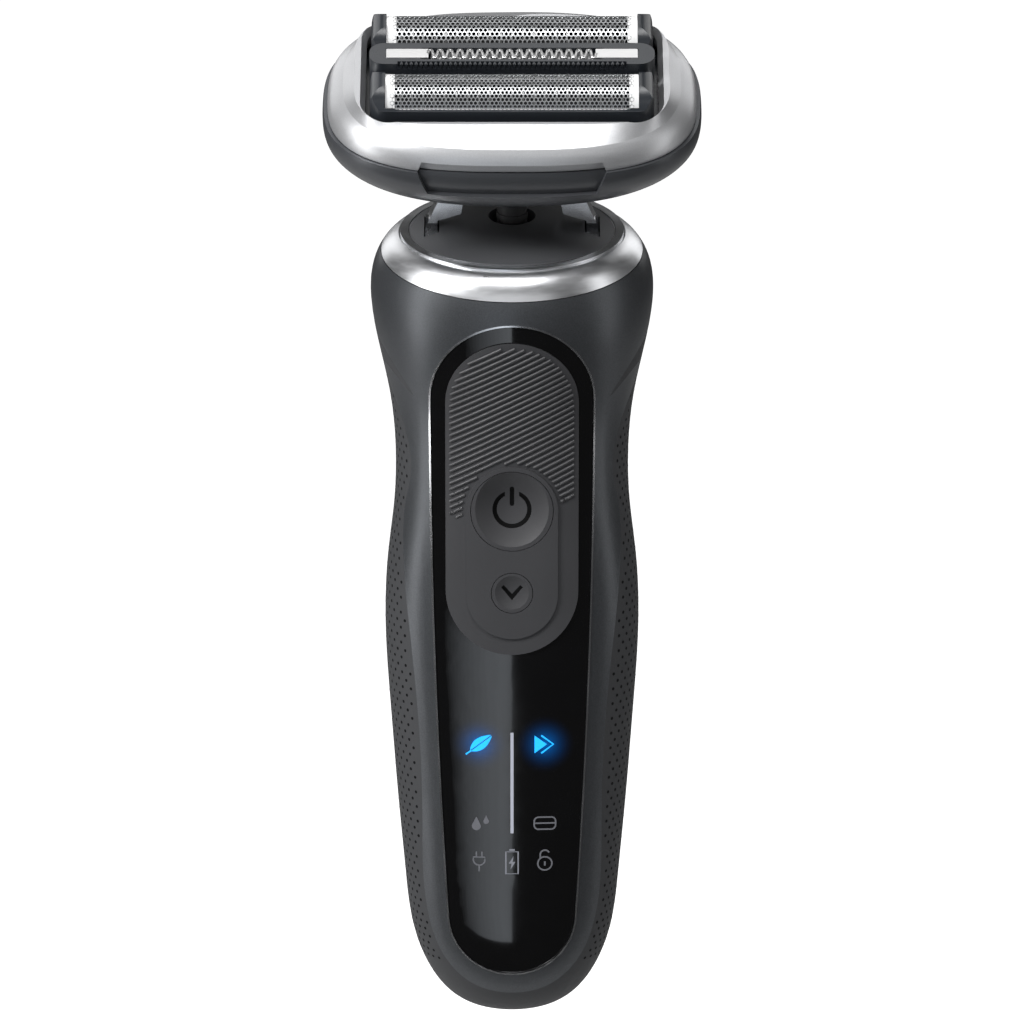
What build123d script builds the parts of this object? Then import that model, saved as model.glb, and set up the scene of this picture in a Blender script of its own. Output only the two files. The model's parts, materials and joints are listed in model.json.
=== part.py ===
from build123d import *

import os
from math import cos, pi, radians, sin

# A cordless foil shaver. Millimetres, +Z up, the front faces -Y.
# The origin is the centre of the charging socket's mouth, at the foot of the handle.

# ---------------------------------------------------------------- driving dimensions
COLLAR_TILT = 11.0  # the collar's rim leans forward by this much, in degrees
COLLAR_SEAM_TILT = 15.0  # the collar's lower seam leans a little more
COLLAR_LOW_Z = 128.9  # lower edge of the collar ring, on the handle's axis
COLLAR_TOP_Z = 131.7  # upper edge of the collar ring, on the handle's axis
SKIRT_Z = 115.0  # the rubber grip ends here on the sides and back
HEAD_TILT = 25.0  # the head leans forward by this much at rest, in degrees
HEAD_CENTRE = (0.0, -3.0, 153.45)  # middle of the seam between head base and cassette
ROCK_HEIGHT = 12.4  # side-to-side axis above the collar plane
TILT_DEPTH = 2.0  # fore-and-aft axis below the collar plane
UNDERSIDE = 9.0  # flat underside of the head above the collar plane
GRIP_SKIN = 1.1  # thickness of the rubber grip
WALL = 2.6  # outer surface to the handle's cavity
GAP = 0.1  # clearance between pieces that lie against each other
STROKE = 1.0  # cutters move this far each way
FLOAT = 1.2  # foils sink this far
FOIL_LENGTH = 40.2
FOIL_RADIUS = 4.2
FOIL_SPACING = 7.8  # foil axis to the head's middle
FOIL_AXIS_H = 5.75  # foil axis above the head's seam
FOIL_SKIN = 0.14
SPRING_X = 21.3  # foil springs stand here, inside the end cheeks
UNIT_HALF = 22.5  # half length of a floating foil unit
OPENING = (23.3, 13.3)  # half width and half depth of the cassette's mouth
POWER_Z = 88.6
POWER_R = 6.7
MODE_Z = 74.9
MODE_R = 3.4
BUTTON_TRAVEL = 0.6
SWITCH_Y = -10.1  # front of the switches on the circuit board
STEM_END_Y = SWITCH_Y - BUTTON_TRAVEL - 0.3
PAD_HALF = 10.7
PAD_LOW_Z = 75.15  # centres of the control pad's round ends
PAD_HIGH_Z = 106.4
PANEL_TOP_R = 13.0
PANEL_TOP_Z = 106.8
PANEL_LOW_R = 10.2
PANEL_LOW_Z = 19.5
BIG = 120.0

# Handle sections: height, half width, front depth, back depth, front and back squareness, lean.
HANDLE_SECTIONS = [
    (0.0, 3.3, 2.2, 2.4, 2.0, 2.0, 0),
    (0.7, 6.3, 4.3, 4.6, 2.0, 2.0, 0),
    (2.4, 9.4, 6.9, 7.4, 2.1, 2.0, 0),
    (5.0, 12.0, 9.2, 9.9, 2.2, 2.1, 0),
    (8.5, 14.1, 10.9, 11.9, 2.4, 2.1, 0),
    (14.0, 16.1, 12.2, 13.6, 2.6, 2.2, 0),
    (24.0, 17.5, 13.1, 15.0, 2.8, 2.2, 0),
    (38.0, 18.75, 13.7, 16.0, 2.8, 2.2, 0),
    (52.0, 19.8, 14.0, 16.6, 2.8, 2.2, 0),
    (66.0, 20.6, 14.1, 16.7, 2.8, 2.2, 0),
    (78.0, 20.15, 14.2, 16.1, 2.8, 2.2, 0),
    (87.0, 19.1, 14.4, 15.3, 2.8, 2.2, 0),
    (96.0, 18.85, 14.8, 15.0, 2.7, 2.2, 0),
    (105.0, 19.7, 15.6, 15.6, 2.5, 2.2, 3),
    (113.0, 21.4, 17.2, 17.2, 2.3, 2.1, 6),
    (121.0, 22.75, 18.7, 18.9, 2.1, 2.0, 9),
    (125.9, 22.4, 19.0, 19.2, 2.0, 2.0, COLLAR_TILT),
    (128.4, 21.35, 18.6, 18.8, 2.0, 2.0, COLLAR_TILT),
    (COLLAR_TOP_Z - 0.45, 18.3, 16.3, 16.5, 2.0, 2.0, COLLAR_TILT),
]
# Collar mouth and the bright bead round it: half width, front and back depth.
MOUTH = (16.7, 14.9, 15.1)
BEAD = (18.0, 16.1, 16.3)

NECK = Location((0, 0, COLLAR_TOP_Z), (COLLAR_TILT, 0, 0))
HEAD = Location(HEAD_CENTRE, (HEAD_TILT, 0, 0))


# ---------------------------------------------------------------- helpers
def oval(half_width, front, back, n_front, n_back, z, y=0.0, lean=0.0):
    """Closed smooth outline, squarer as n rises. It leans about X, back side up."""
    count = 20
    points = []
    for i in range(count):
        turn = pi / 2 + 2 * pi * i / count
        c, s = cos(turn), sin(turn)
        n, depth = (n_back, back) if s > 0 else (n_front, front)
        across = half_width * abs(c) ** (2 / n) * (1 if c > 0 else -1)
        along = depth * abs(s) ** (2 / n) * (1 if s > 0 else -1)
        tilt = radians(lean)
        points.append((across, y + along * cos(tilt), z + along * sin(tilt)))
    return Wire([Edge.make_spline(points, periodic=True)])


def handle_loft(inset):
    """The handle's outer form, moved inwards by inset."""
    wires = []
    for z, a, front, back, n_front, n_back, lean in HANDLE_SECTIONS:
        share = min(1.0, a / 9.0)
        rise = max(0.0, 1.0 - z / 14.0)
        wires.append(
            oval(
                a - inset * share,
                front - inset * share,
                back - inset * share,
                n_front,
                n_back,
                z + inset * rise,
                lean=lean,
            )
        )
    return Solid.make_loft(wires)


def upright(half_width, front, back, low, high, n=2.0):
    """Straight-sided oval block along the local Z axis."""
    face = Face(oval(half_width, front, back, n, n, low))
    return extrude(face, high - low, dir=(0, 0, 1))


def above(z, lean=0.0):
    """Everything above a plane through (0, 0, z) that leans about X."""
    block = Box(BIG, BIG, BIG, align=(Align.CENTER, Align.CENTER, Align.MIN))
    return Location((0, 0, z), (lean, 0, 0)) * block


def prism(face, back_y, front_y):
    """A face drawn as (x, z), extruded from back_y forwards to front_y."""
    return extrude(Plane.XZ.offset(-back_y) * face, back_y - front_y)


def stadium(half, low, high):
    """Upright stadium in (x, z) with its round ends centred at low and high."""
    return make_face(
        [
            Line((half, low), (half, high)),
            ThreePointArc((half, high), (0, high + half), (-half, high)),
            Line((-half, high), (-half, low)),
            ThreePointArc((-half, low), (0, low - half), (half, low)),
        ]
    )


def panel_face(grow=0.0):
    """Outline of the display panel in (x, z)."""
    top, low = PANEL_TOP_R + grow, PANEL_LOW_R + grow
    middle_z = 66.0
    middle = 12.35 + grow
    return make_face(
        [
            ThreePointArc((low, PANEL_LOW_Z), (middle, middle_z), (top, PANEL_TOP_Z)),
            ThreePointArc((top, PANEL_TOP_Z), (0, PANEL_TOP_Z + top), (-top, PANEL_TOP_Z)),
            ThreePointArc((-top, PANEL_TOP_Z), (-middle, middle_z), (-low, PANEL_LOW_Z)),
            ThreePointArc((-low, PANEL_LOW_Z), (0, PANEL_LOW_Z - low), (low, PANEL_LOW_Z)),
        ]
    )


def front_face():
    """Outline of the front shell where it meets the rubber grip, in (x, z)."""
    low_side = [(0, 5.3), (7.2, 7.4), (11.4, 12.2), (13.5, 18), (14.6, 36)]
    high_side = [(15.9, 61), (17.1, 89), (17.9, 103), (19.6, 110.5), (22.6, 116.5)]
    right = Spline(low_side + high_side, tangents=[(1, 0), (0.75, 1)])
    left = mirror(right, Plane.YZ)
    half, start = high_side[-1]
    rim = [(half, start), (half, start + BIG), (-half, start + BIG), (-half, start)]
    return make_face([*right.edges(), *Polyline(rim).edges(), *left.edges()])


def cylinder_between(start, end, radius):
    """A round bar from one point to another."""
    start, end = Vector(*start), Vector(*end)
    plane = Plane(origin=start, z_dir=end - start)
    return extrude(plane * Circle(radius), (end - start).length)


def block(x, y, z):
    """A box given by its low and high x, y and z."""
    size = (x[1] - x[0], y[1] - y[0], z[1] - z[0])
    centre = ((x[0] + x[1]) / 2, (y[0] + y[1]) / 2, (z[0] + z[1]) / 2)
    return Pos(*centre) * Box(*size)


def rounded_block(x, y, z, corner):
    """A box with rounded upright edges."""
    width, depth = x[1] - x[0], y[1] - y[0]
    plate = Pos((x[0] + x[1]) / 2, (y[0] + y[1]) / 2, z[0]) * RectangleRounded(width, depth, corner)
    return extrude(plate, z[1] - z[0])


def coil_spring(radius, wire, height, turns):
    """A compression spring standing on z = 0."""
    path = Helix(pitch=height / turns, height=height, radius=radius)
    start = Plane(origin=path @ 0, z_dir=path % 0)
    return sweep(start * Circle(wire / 2), path=path)


def both_sides(shape):
    """A shape and its mirror image across the middle plane."""
    return [shape, mirror(shape, Plane.YZ)]


def group(shapes):
    """Separate solids of one node."""
    solids = []
    for shape in shapes:
        solids.extend(shape.solids())
    return Compound(children=solids)


# ---------------------------------------------------------------- handle
def button_cap(z, radius, stem):
    """A round key, cut to the raised surface of the control pad, with its stem."""
    cap = cylinder_between((0, -12.6, z), (0, -20, z), radius) & handle_loft(-0.6)
    return cap + cylinder_between((0, STEM_END_Y, z), (0, -12.7, z), stem)


def power_symbol():
    """A broken ring with a bar, standing proud through the power button."""
    ring = Circle(3.15) - Circle(2.45) - Pos(0, 2.5) * Rectangle(2.3, 3.4)
    bar = Pos(0, 2.15) * SlotOverall(3.4, 0.72, rotation=90)
    return prism(Pos(0, POWER_Z) * (ring + bar), -12.7, -20)


def mode_symbol():
    """A chevron that points down, standing proud through the mode button."""
    stroke, reach, drop = 0.8, 1.75, 0.9
    tip = 0.5 * stroke
    outline = [(0, -drop - tip), (reach, drop), (reach - tip, drop + tip), (0, -drop + 1.6 * tip)]
    outline += [(-reach + tip, drop + tip), (-reach, drop), (0, -drop - tip)]
    return prism(Pos(0, MODE_Z) * make_face(Polyline(outline).edges()), -12.7, -20)


def make_handle():
    """Shells, collar, panel, controls and everything fixed in the handle."""
    outer = handle_loft(0.0)
    grip_inner = handle_loft(GRIP_SKIN)
    cavity = handle_loft(WALL)
    over_collar = above(COLLAR_LOW_Z - 0.15, COLLAR_SEAM_TILT)
    collar_zone = above(COLLAR_LOW_Z, COLLAR_SEAM_TILT)
    front_zone = prism(front_face(), -1.0, -BIG)
    front_zone = front_zone + above(SKIRT_Z)

    front_shell = (outer - cavity - over_collar) & front_zone
    rubber_grip = outer - grip_inner - front_zone
    rear_shell = grip_inner - cavity - front_zone

    # Charging socket: a stadium recess that opens downwards.
    socket_hole = extrude(Pos(0, 0, -1) * SlotOverall(9.4, 5.8), 12)
    rubber_grip = rubber_grip - socket_hole
    rear_shell = rear_shell - socket_hole
    socket_body = extrude(Pos(0, 0, 1.6) * SlotOverall(9.2, 5.6), 9.4)
    socket_body -= extrude(Pos(0, 0, 1.0) * SlotOverall(7.4, 3.8), 7.0)
    pin_height = (2.4, 8.0)
    pins = []
    for x in (-1.6, 1.6):
        pins.append(cylinder_between((x, 0, pin_height[0]), (x, 0, pin_height[1]), 0.6))

    # Display panel, its bright trim line, and the soft control pad let into it.
    seat_depth = 1.3
    trim_grow = 0.38
    shelf = handle_loft(seat_depth)
    pocket = prism(panel_face(trim_grow), -2, -BIG) - shelf
    window = prism(panel_face(-2.0), -2, -BIG)
    front_shell = front_shell - pocket - window
    trim_solid = handle_loft(-0.1) - shelf
    trim_band = prism(panel_face(trim_grow), -2, -BIG) - prism(panel_face(0.1), -2, -BIG)
    panel_trim = trim_solid & trim_band
    pad_hole = prism(stadium(PAD_HALF + 0.05, PAD_LOW_Z, PAD_HIGH_Z), -2, -BIG)
    panel_skin = handle_loft(0.12) - shelf
    display_panel = (panel_skin & prism(panel_face(0.0), -2, -BIG)) - pad_hole
    pad_prism = prism(stadium(PAD_HALF, PAD_LOW_Z, PAD_HIGH_Z), -2, -BIG)
    tongue = prism(stadium(7.4, MODE_Z - 0.3, POWER_Z), -2, -BIG)
    pad_low = handle_loft(-0.25)
    control_pad = (pad_low - shelf) & pad_prism
    control_pad += (handle_loft(-0.6) - pad_low) & tongue
    pad_surface = -(14.4 + 0.6)
    power_hole = cylinder_between((0, -2, POWER_Z), (0, -30, POWER_Z), POWER_R)
    mode_hole = cylinder_between((0, -2, MODE_Z), (0, -30, MODE_Z), MODE_R)
    control_pad = control_pad - power_hole - mode_hole

    # Buttons: dished caps with an inlaid mark, each with a stem behind.
    power_mark = power_symbol()
    power_button = button_cap(POWER_Z, POWER_R - GAP, 2.0)
    bowl = Pos(0, pad_surface - 10.3, POWER_Z)
    power_button = power_button - bowl * Sphere(12.0) - (power_mark & bowl * Sphere(12.25))
    power_mark = power_mark & (bowl * (Sphere(12.25) - Sphere(12.08)))
    mode_mark = mode_symbol()
    mode_button = button_cap(MODE_Z, MODE_R - GAP, 1.5)
    bowl = Pos(0, pad_surface - 7.1, MODE_Z)
    mode_button = mode_button - bowl * Sphere(7.85) - (mode_mark & bowl * Sphere(8.1))
    mode_mark = mode_mark & (bowl * (Sphere(8.1) - Sphere(7.93)))

    # Collar ring and the domed neck cover with slots for the yoke's feet.
    mouth = NECK * upright(*MOUTH, -12, 2)
    bead = NECK * upright(*BEAD, -1.6, 0)
    collar_ring = (outer & collar_zone) + bead - mouth
    plug = upright(MOUTH[0] - 0.05, MOUTH[1] - 0.05, MOUTH[2] - 0.05, -5.5, 4)
    dome_radius = 52.0
    dome_top = 2.5
    dome = plug & Pos(0, 0, dome_top - dome_radius) * Sphere(dome_radius)
    inside = upright(15.2, 13.4, 13.6, -6, -1.1)
    for side in (-1, 1):
        x = sorted((side * 14.2, side * 16.5))
        inside = inside - block(x, (-3.2, 3.2), (-6, 0))
    dome = dome - inside
    for side in (-1, 1):
        dome -= Pos(side * 12.95, 0, -TILT_DEPTH) * Rot(0, 90, 0) * Cylinder(4.7, 2.4)
        dome -= Pos(side * 14.8, 0, -TILT_DEPTH) * Rot(0, 90, 0) * Cylinder(1.3, 1.6)
        x = sorted((side * 11.7, side * 14.15))
        dome -= block(x, (-3.0, 3.0), (-6, 4))
    dome -= Pos(0, 0, -1) * Cylinder(3.8, 10)
    neck_dome = NECK * dome
    return {
        "front_shell": front_shell,
        "rubber_grip": rubber_grip,
        "rear_shell": rear_shell,
        "charging_socket": socket_body,
        "socket_pins": group(pins),
        "display_panel": display_panel,
        "panel_trim": panel_trim,
        "control_pad": control_pad,
        "power_button": power_button,
        "power_mark": power_mark,
        "mode_button": mode_button,
        "mode_mark": mode_mark,
        "collar_ring": collar_ring,
        "neck_dome": neck_dome,
    }


def make_inside():
    """Chassis, battery, circuit board and the switches behind the buttons."""
    board_front, board_back = -9.2, -8.0
    board = block((-9.5, 9.5), (board_front, board_back), (27, 100))
    chassis = block((-10.6, 10.6), (-7.6, 7.8), (20, 101)) - block((-9.4, 9.4), (-6.0, 12), (21.4, 99.6))
    chassis -= block((-8.2, 8.2), (-8, -5.9), (79, 90.5))
    cell_radius, cell_y = 7.1, 1.4
    cell_low, cell_high = 26.0, 76.0
    cell = cylinder_between((0, cell_y, cell_low), (0, cell_y, cell_high), cell_radius)
    cell = fillet(cell.edges().filter_by(GeomType.CIRCLE), 0.6)
    tabs = [
        block((-2, 2), (cell_y - 7.2, cell_y + 4), (cell_high, cell_high + 0.3)),
        block((-2, 2), (cell_y - 7.2, cell_y + 4), (cell_low - 0.3, cell_low)),
    ]
    cradles = []
    for low, high in ((30, 34), (67, 71)):
        saddle = block((-9.35, 9.35), (cell_y + 0.6, 9.0), (low, high))
        cradles.append(saddle - cylinder_between((0, cell_y, 20), (0, cell_y, 80), cell_radius + 0.05))
    switches = []
    for z in (POWER_Z, MODE_Z):
        switches.append(block((-2.4, 2.4), (SWITCH_Y, board_front), (z - 2.4, z + 2.4)))
    leds = []
    for z in (30.5, 37.0, 50.5):
        leds.append(block((-6.4, 6.4), (-10.0, board_front), (z - 0.4, z + 0.4)))
    guide = block((-7.4, 7.4), (-10.8, -10.1), (28, 62))
    chips = [
        block((-3, 3), (board_back, board_back + 1.2), (84, 90)),
        block((3.6, 7.4), (board_back, board_back + 1.0), (80, 83)),
        block((-7.6, -4.4), (board_back, board_back + 1.6), (84, 88)),
    ]
    screws = []
    for x in (-8.0, 8.0):
        for z in (32.0, 96.5):
            chassis += cylinder_between((x, board_back, z), (x, -7.5, z), 1.3)
            chassis -= cylinder_between((x, -9, z), (x, -5, z), 0.75)
            board -= cylinder_between((x, -10, z), (x, -7, z), 0.75)
            head = cylinder_between((x, -6.0, z), (x, -4.9, z), 1.3)
            screws.append(head + cylinder_between((x, board_front, z), (x, -5.9, z), 0.7))
    transformer = block((-4, 4), (-6.0, -0.5), (91.5, 98.5))
    return {
        "chassis": chassis,
        "circuit_board": board,
        "battery_cell": cell,
        "battery_tabs": group(tabs),
        "battery_cradle": group(cradles),
        "tact_switches": group(switches),
        "indicator_leds": group(leds),
        "light_guide": guide,
        "board_chips": group(chips),
        "charge_transformer": transformer,
        "chassis_screws": group(screws),
    }


# ---------------------------------------------------------------- neck and drive
def make_neck():
    """The yoke that swings fore and aft, with the drive motor hung below it."""
    drop = -TILT_DEPTH
    saddle_low, saddle_high = ROCK_HEIGHT - 1.2, ROCK_HEIGHT + 1.2
    outer_side = [(12.0, -4.0), (13.9, -4.0), (13.9, 1.0), (11.0, 7.6), (11.0, saddle_high)]
    inner_side = [(5.0, saddle_high), (5.0, saddle_low), (7.0, saddle_low - 1.0), (8.2, 3.4), (12.0, 2.2)]
    outline = outer_side + inner_side
    arm = Plane.XZ.offset(-1.8) * make_face(Polyline(outline + outline[:1]).edges())
    arm = extrude(arm, 3.6)
    foot = Pos(12.95, 0, drop) * Rot(0, 90, 0) * Cylinder(4.2, 1.9)
    arms = both_sides(arm + foot)
    ends = []
    for y in (-1, 1):
        bar = block((-5.0, 5.0), (2.9, 4.7), (saddle_low, saddle_high))
        ends.append(bar if y > 0 else mirror(bar, Plane.XZ))
    sides = both_sides(block((3.9, 5.4), (-4.7, 4.7), (saddle_low + 0.1, saddle_high)))
    ring_hole = 3.3
    beam = block((-13.9, 13.9), (-2.4, 2.4), (drop - 2.4, drop)) - block((-3.9, 3.9), (-4, 4), (-9, 2))
    ring = Pos(0, 0, drop - 1.5) * (Cylinder(5.2, 1.8) - Cylinder(ring_hole, 3.0))
    yoke = beam + ring
    for piece in arms + ends + sides:
        yoke = yoke + piece
    for side in (-1, 1):
        yoke -= cylinder_between((side * 11.9, 0, drop), (side * 15.0, 0, drop), 1.26)
    pin_hole = Pos(0, 0, ROCK_HEIGHT) * Rot(90, 0, 0) * Cylinder(0.9, 12)
    yoke = yoke - pin_hole
    tilt_pins = []
    for side in (-1, 1):
        tilt_pins.append(cylinder_between((side * 11.9, 0, drop), (side * 15.4, 0, drop), 1.25))
    rock_pins = []
    for side in (-1, 1):
        rock_pins.append(cylinder_between((0, side * 2.9, ROCK_HEIGHT), (0, side * 8.2, ROCK_HEIGHT), 0.9))

    # Motor: an E-shaped core and coil under the yoke; a magnet carrier slides across it.
    top = drop - 2.4
    case_skin = 1.1
    case_low = top - 14.1
    core_low = case_low + case_skin
    case = rounded_block((-9.5, 9.5), (-5.4, 5.4), (case_low, top), 2.5)
    case -= rounded_block((-8.4, 8.4), (-4.3, 4.3), (core_low, top + 1), 1.5)
    core = block((-7.6, 7.6), (-3.8, 3.8), (core_low, core_low + 2.2))
    for x in (-6.6, 0, 6.6):
        core += block((x - 1.0, x + 1.0), (-3.8, 3.8), (core_low + 2.1, core_low + 8))
    coil = block((-4.4, 4.4), (-4.2, 4.2), (core_low + 2.4, core_low + 7.2))
    coil -= block((-1.05, 1.05), (-3.85, 3.85), (core_low, core_low + 9))
    gap_z = core_low + 8.4
    magnets = []
    for x in (-5.2, 0.2):
        magnets.append(block((x, x + 5.0), (-3.6, 3.6), (gap_z, gap_z + 1.8)))
    carrier = block((-6.2, 6.2), (-3.8, 3.8), (gap_z + 1.8, gap_z + 3.2))
    pin_low = gap_z + 3.2
    pin_path = (0, 0, ROCK_HEIGHT)
    drive_pin = cylinder_between((0, 0, pin_low), pin_path, 0.7) + Pos(*pin_path) * Sphere(1.5)
    flexures = both_sides(block((7.7, 7.95), (-3.0, 3.0), (core_low, top - 0.2)))
    boot_low, boot_high = drop - 0.5, 6.8
    boot_radius, boot_hole = 2.5, 1.95
    boot = Pos(0, 0, (boot_low + boot_high) / 2) * Cylinder(boot_radius, boot_high - boot_low)
    for i in range(3):
        groove = Pos(0, 0, 1.8 + 1.7 * i) * (Cylinder(boot_radius + 1, 0.7) - Cylinder(boot_radius - 0.2, 0.8))
        boot = boot - groove
    collar = Pos(0, 0, boot_low - 0.9) * Cylinder(ring_hole - 0.05, 1.8)
    boot = boot + collar - Cylinder(boot_hole, 40)
    local = {
        "neck_yoke": yoke,
        "tilt_pins": group(tilt_pins),
        "rock_pins": group(rock_pins),
        "motor_case": case,
        "motor_core": core,
        "motor_coil": coil,
        "motor_magnets": group(magnets),
        "magnet_carrier": carrier,
        "drive_pin": drive_pin,
        "motor_flexures": group(flexures),
        "neck_boot": boot,
    }
    return {name: NECK * shape for name, shape in local.items()}


# ---------------------------------------------------------------- head base
# Head base sections: height, shift in y, half width, front depth, back depth, squareness, lean.
BASE_SECTIONS = [
    (0.0, 0.0, 30.1, 20.2, 20.2, 2.8, 0),
    (-2.0, 0.0, 30.3, 20.4, 20.4, 2.8, 0),
    (-5.3, -0.2, 29.3, 19.8, 19.2, 2.7, -3),
    (-8.3, -1.1, 27.0, 18.3, 16.8, 2.5, -7),
    (-10.9, -2.6, 22.8, 15.0, 13.4, 2.3, -11),
    (-12.5, -4.0, 16.5, 11.2, 10.0, 2.2, -14),
]


def base_loft(inset, lift):
    wires = []
    for h, y, a, front, back, n, lean in BASE_SECTIONS:
        wires.append(oval(a - inset, front - inset, back - inset, n, n, h + lift, y=y, lean=lean))
    return Solid.make_loft(wires)


def thumb_face(low_half, low, high_half, high):
    """Outline of the thumb recess in (x, z): a strip with slanting ends."""
    corners = [(-low_half, low), (low_half, low), (high_half, high), (-high_half, high), (-low_half, low)]
    return make_face(Polyline(corners).edges())


def make_base():
    """The dark lower half of the head: tub, top plate and drive bridge."""
    local_neck = HEAD.inverse() * NECK
    tub = base_loft(0.0, 0.0)
    hollow = base_loft(1.5, 1.3) + upright(28.6, 18.7, 18.7, -0.01, 3, 2.8)
    flat_cut = local_neck * block((-BIG, BIG), (-BIG, BIG), (UNDERSIDE - 30, UNDERSIDE))
    floor = (local_neck * block((-BIG, BIG), (-BIG, BIG), (0, UNDERSIDE + 1.0))) & base_loft(0.3, 0)
    tub = (tub - hollow) + floor - flat_cut
    slots = []
    for side in both_sides(block((5.4, 12.4), (-2.9, 2.9), (UNDERSIDE - 2, UNDERSIDE + 3))):
        slots.append(local_neck * side)
    slots.append(local_neck * block((-4.4, 4.4), (-4.3, 4.3), (UNDERSIDE - 2, UNDERSIDE + 3)))
    for cut in slots:
        tub = tub - cut
    lugs = []
    for side in (-1, 1):
        y = sorted((side * 5.1, side * 7.8))
        lug = block((-2.6, 2.6), y, (UNDERSIDE + 0.8, ROCK_HEIGHT + 1.9))
        lugs.append(local_neck * (lug - Pos(0, 0, ROCK_HEIGHT) * Rot(90, 0, 0) * Cylinder(0.95, 40)))
    for lug in lugs:
        tub = tub + lug
    thumb = thumb_face(15.1, 0.4, 13.4, -4.2)
    thumb_cut = prism(thumb, -15, -40) - base_loft(0.9, 0.0)
    tub = tub - thumb_cut

    plate = upright(28.3, 18.4, 18.4, -1.6, -0.3, 2.8)
    stud_half = 1.6
    slot_half = stud_half + STROKE + 0.4
    for y in (-FOIL_SPACING, 0.0, FOIL_SPACING):
        plate -= block((-slot_half, slot_half), (y - 1.9, y + 1.9), (-3, 1))

    bridge_low, bridge_high = -3.6, -2.4
    bridge = block((-13, 13), (-FOIL_SPACING - 2, FOIL_SPACING + 2), (bridge_low, bridge_high))
    bridge -= block((-11, -5.5), (-5.5, 5.5), (-5, 0))
    bridge -= block((5.5, 11), (-5.5, 5.5), (-5, 0))
    stud_top = FOIL_AXIS_H - 1.0 - FLOAT - 0.15
    for y in (-FOIL_SPACING, FOIL_SPACING):
        bridge += block((-stud_half, stud_half), (y - 1.2, y + 1.2), (bridge_high, stud_top))
    bridge += block((-1.2, 1.2), (-1.2, 1.2), (bridge_high, 5.8))
    for side in (-1, 1):
        x = sorted((side * 1.6, side * 2.5))
        arm = local_neck * block(x, (-1.7, 1.7), (ROCK_HEIGHT - 1.0, ROCK_HEIGHT + 7.5))
        bridge += arm - block((-20, 20), (-20, 20), (bridge_low + 0.5, 20))
    catch = block((26.4, 27.5), (-4, 4), (-0.3, 1.8))
    return {
        "head_base": HEAD * tub,
        "head_plate": HEAD * plate,
        "drive_bridge": HEAD * bridge,
        "cassette_catches": HEAD * group(both_sides(catch)),
    }


# ---------------------------------------------------------------- cassette
def frame_loft(sections):
    """Smooth body through squarish ovals, each a half width, a half depth and a height."""
    wires = []
    for half_width, depth, z in sections:
        wires.append(oval(half_width, depth, depth, 2.8, 2.8, z))
    return Solid.make_loft(wires)


def make_cassette():
    """The bright frame that clicks onto the head base, and its inner tray."""
    square = 2.8
    seam, shoulder, crest = 0.15, 4.0, 6.0
    side_band = frame_loft([(29.5, 19.8, seam), (29.1, 19.6, 1.9), (27.0, 18.4, shoulder)])
    rim = oval(25.0, 14.4, 14.4, 5.0, 5.0, crest)
    top_band = Solid.make_loft([oval(27.0, 18.4, 18.4, square, square, shoulder - 0.01), rim], ruled=True)
    frame = side_band + top_band
    mouth_width, mouth_depth, corner = 2 * OPENING[0], 2 * OPENING[1], 4.7
    frame -= extrude(RectangleRounded(mouth_width, mouth_depth, corner), 12)
    bevel_low = Pos(0, 0, 4.7) * RectangleRounded(mouth_width, mouth_depth, corner)
    bevel_high = Pos(0, 0, crest + 0.05) * RectangleRounded(mouth_width + 1.7, mouth_depth + 0.9, corner + 0.6)
    frame -= loft([bevel_low, bevel_high])
    frame = frame - frame_loft([(28.2, 18.5, -0.5), (27.7, 18.1, 1.9), (25.4, 16.4, 3.6)])
    notch = prism(thumb_face(15.1, -0.5, 14.3, 1.75), -15, -40)
    lip_inner = frame_loft([(28.8, 19.1, -0.5), (28.5, 18.9, 1.9)])
    frame = frame - (notch - lip_inner)

    tray = upright(27.4, 17.8, 17.8, 0.2, 1.2, square)
    for y in (-FOIL_SPACING, FOIL_SPACING):
        tray -= block((-4.2, 4.2), (y - 2.4, y + 2.4), (-2, 3))
    tray -= block((-3.4, 3.4), (-2.0, 2.0), (-2, 3))
    for side in both_sides(block((26.2, 30), (-4.6, 4.6), (-1, 3))):
        tray = tray - side
    return {"cassette_frame": HEAD * frame, "cassette_tray": HEAD * tray}


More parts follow.
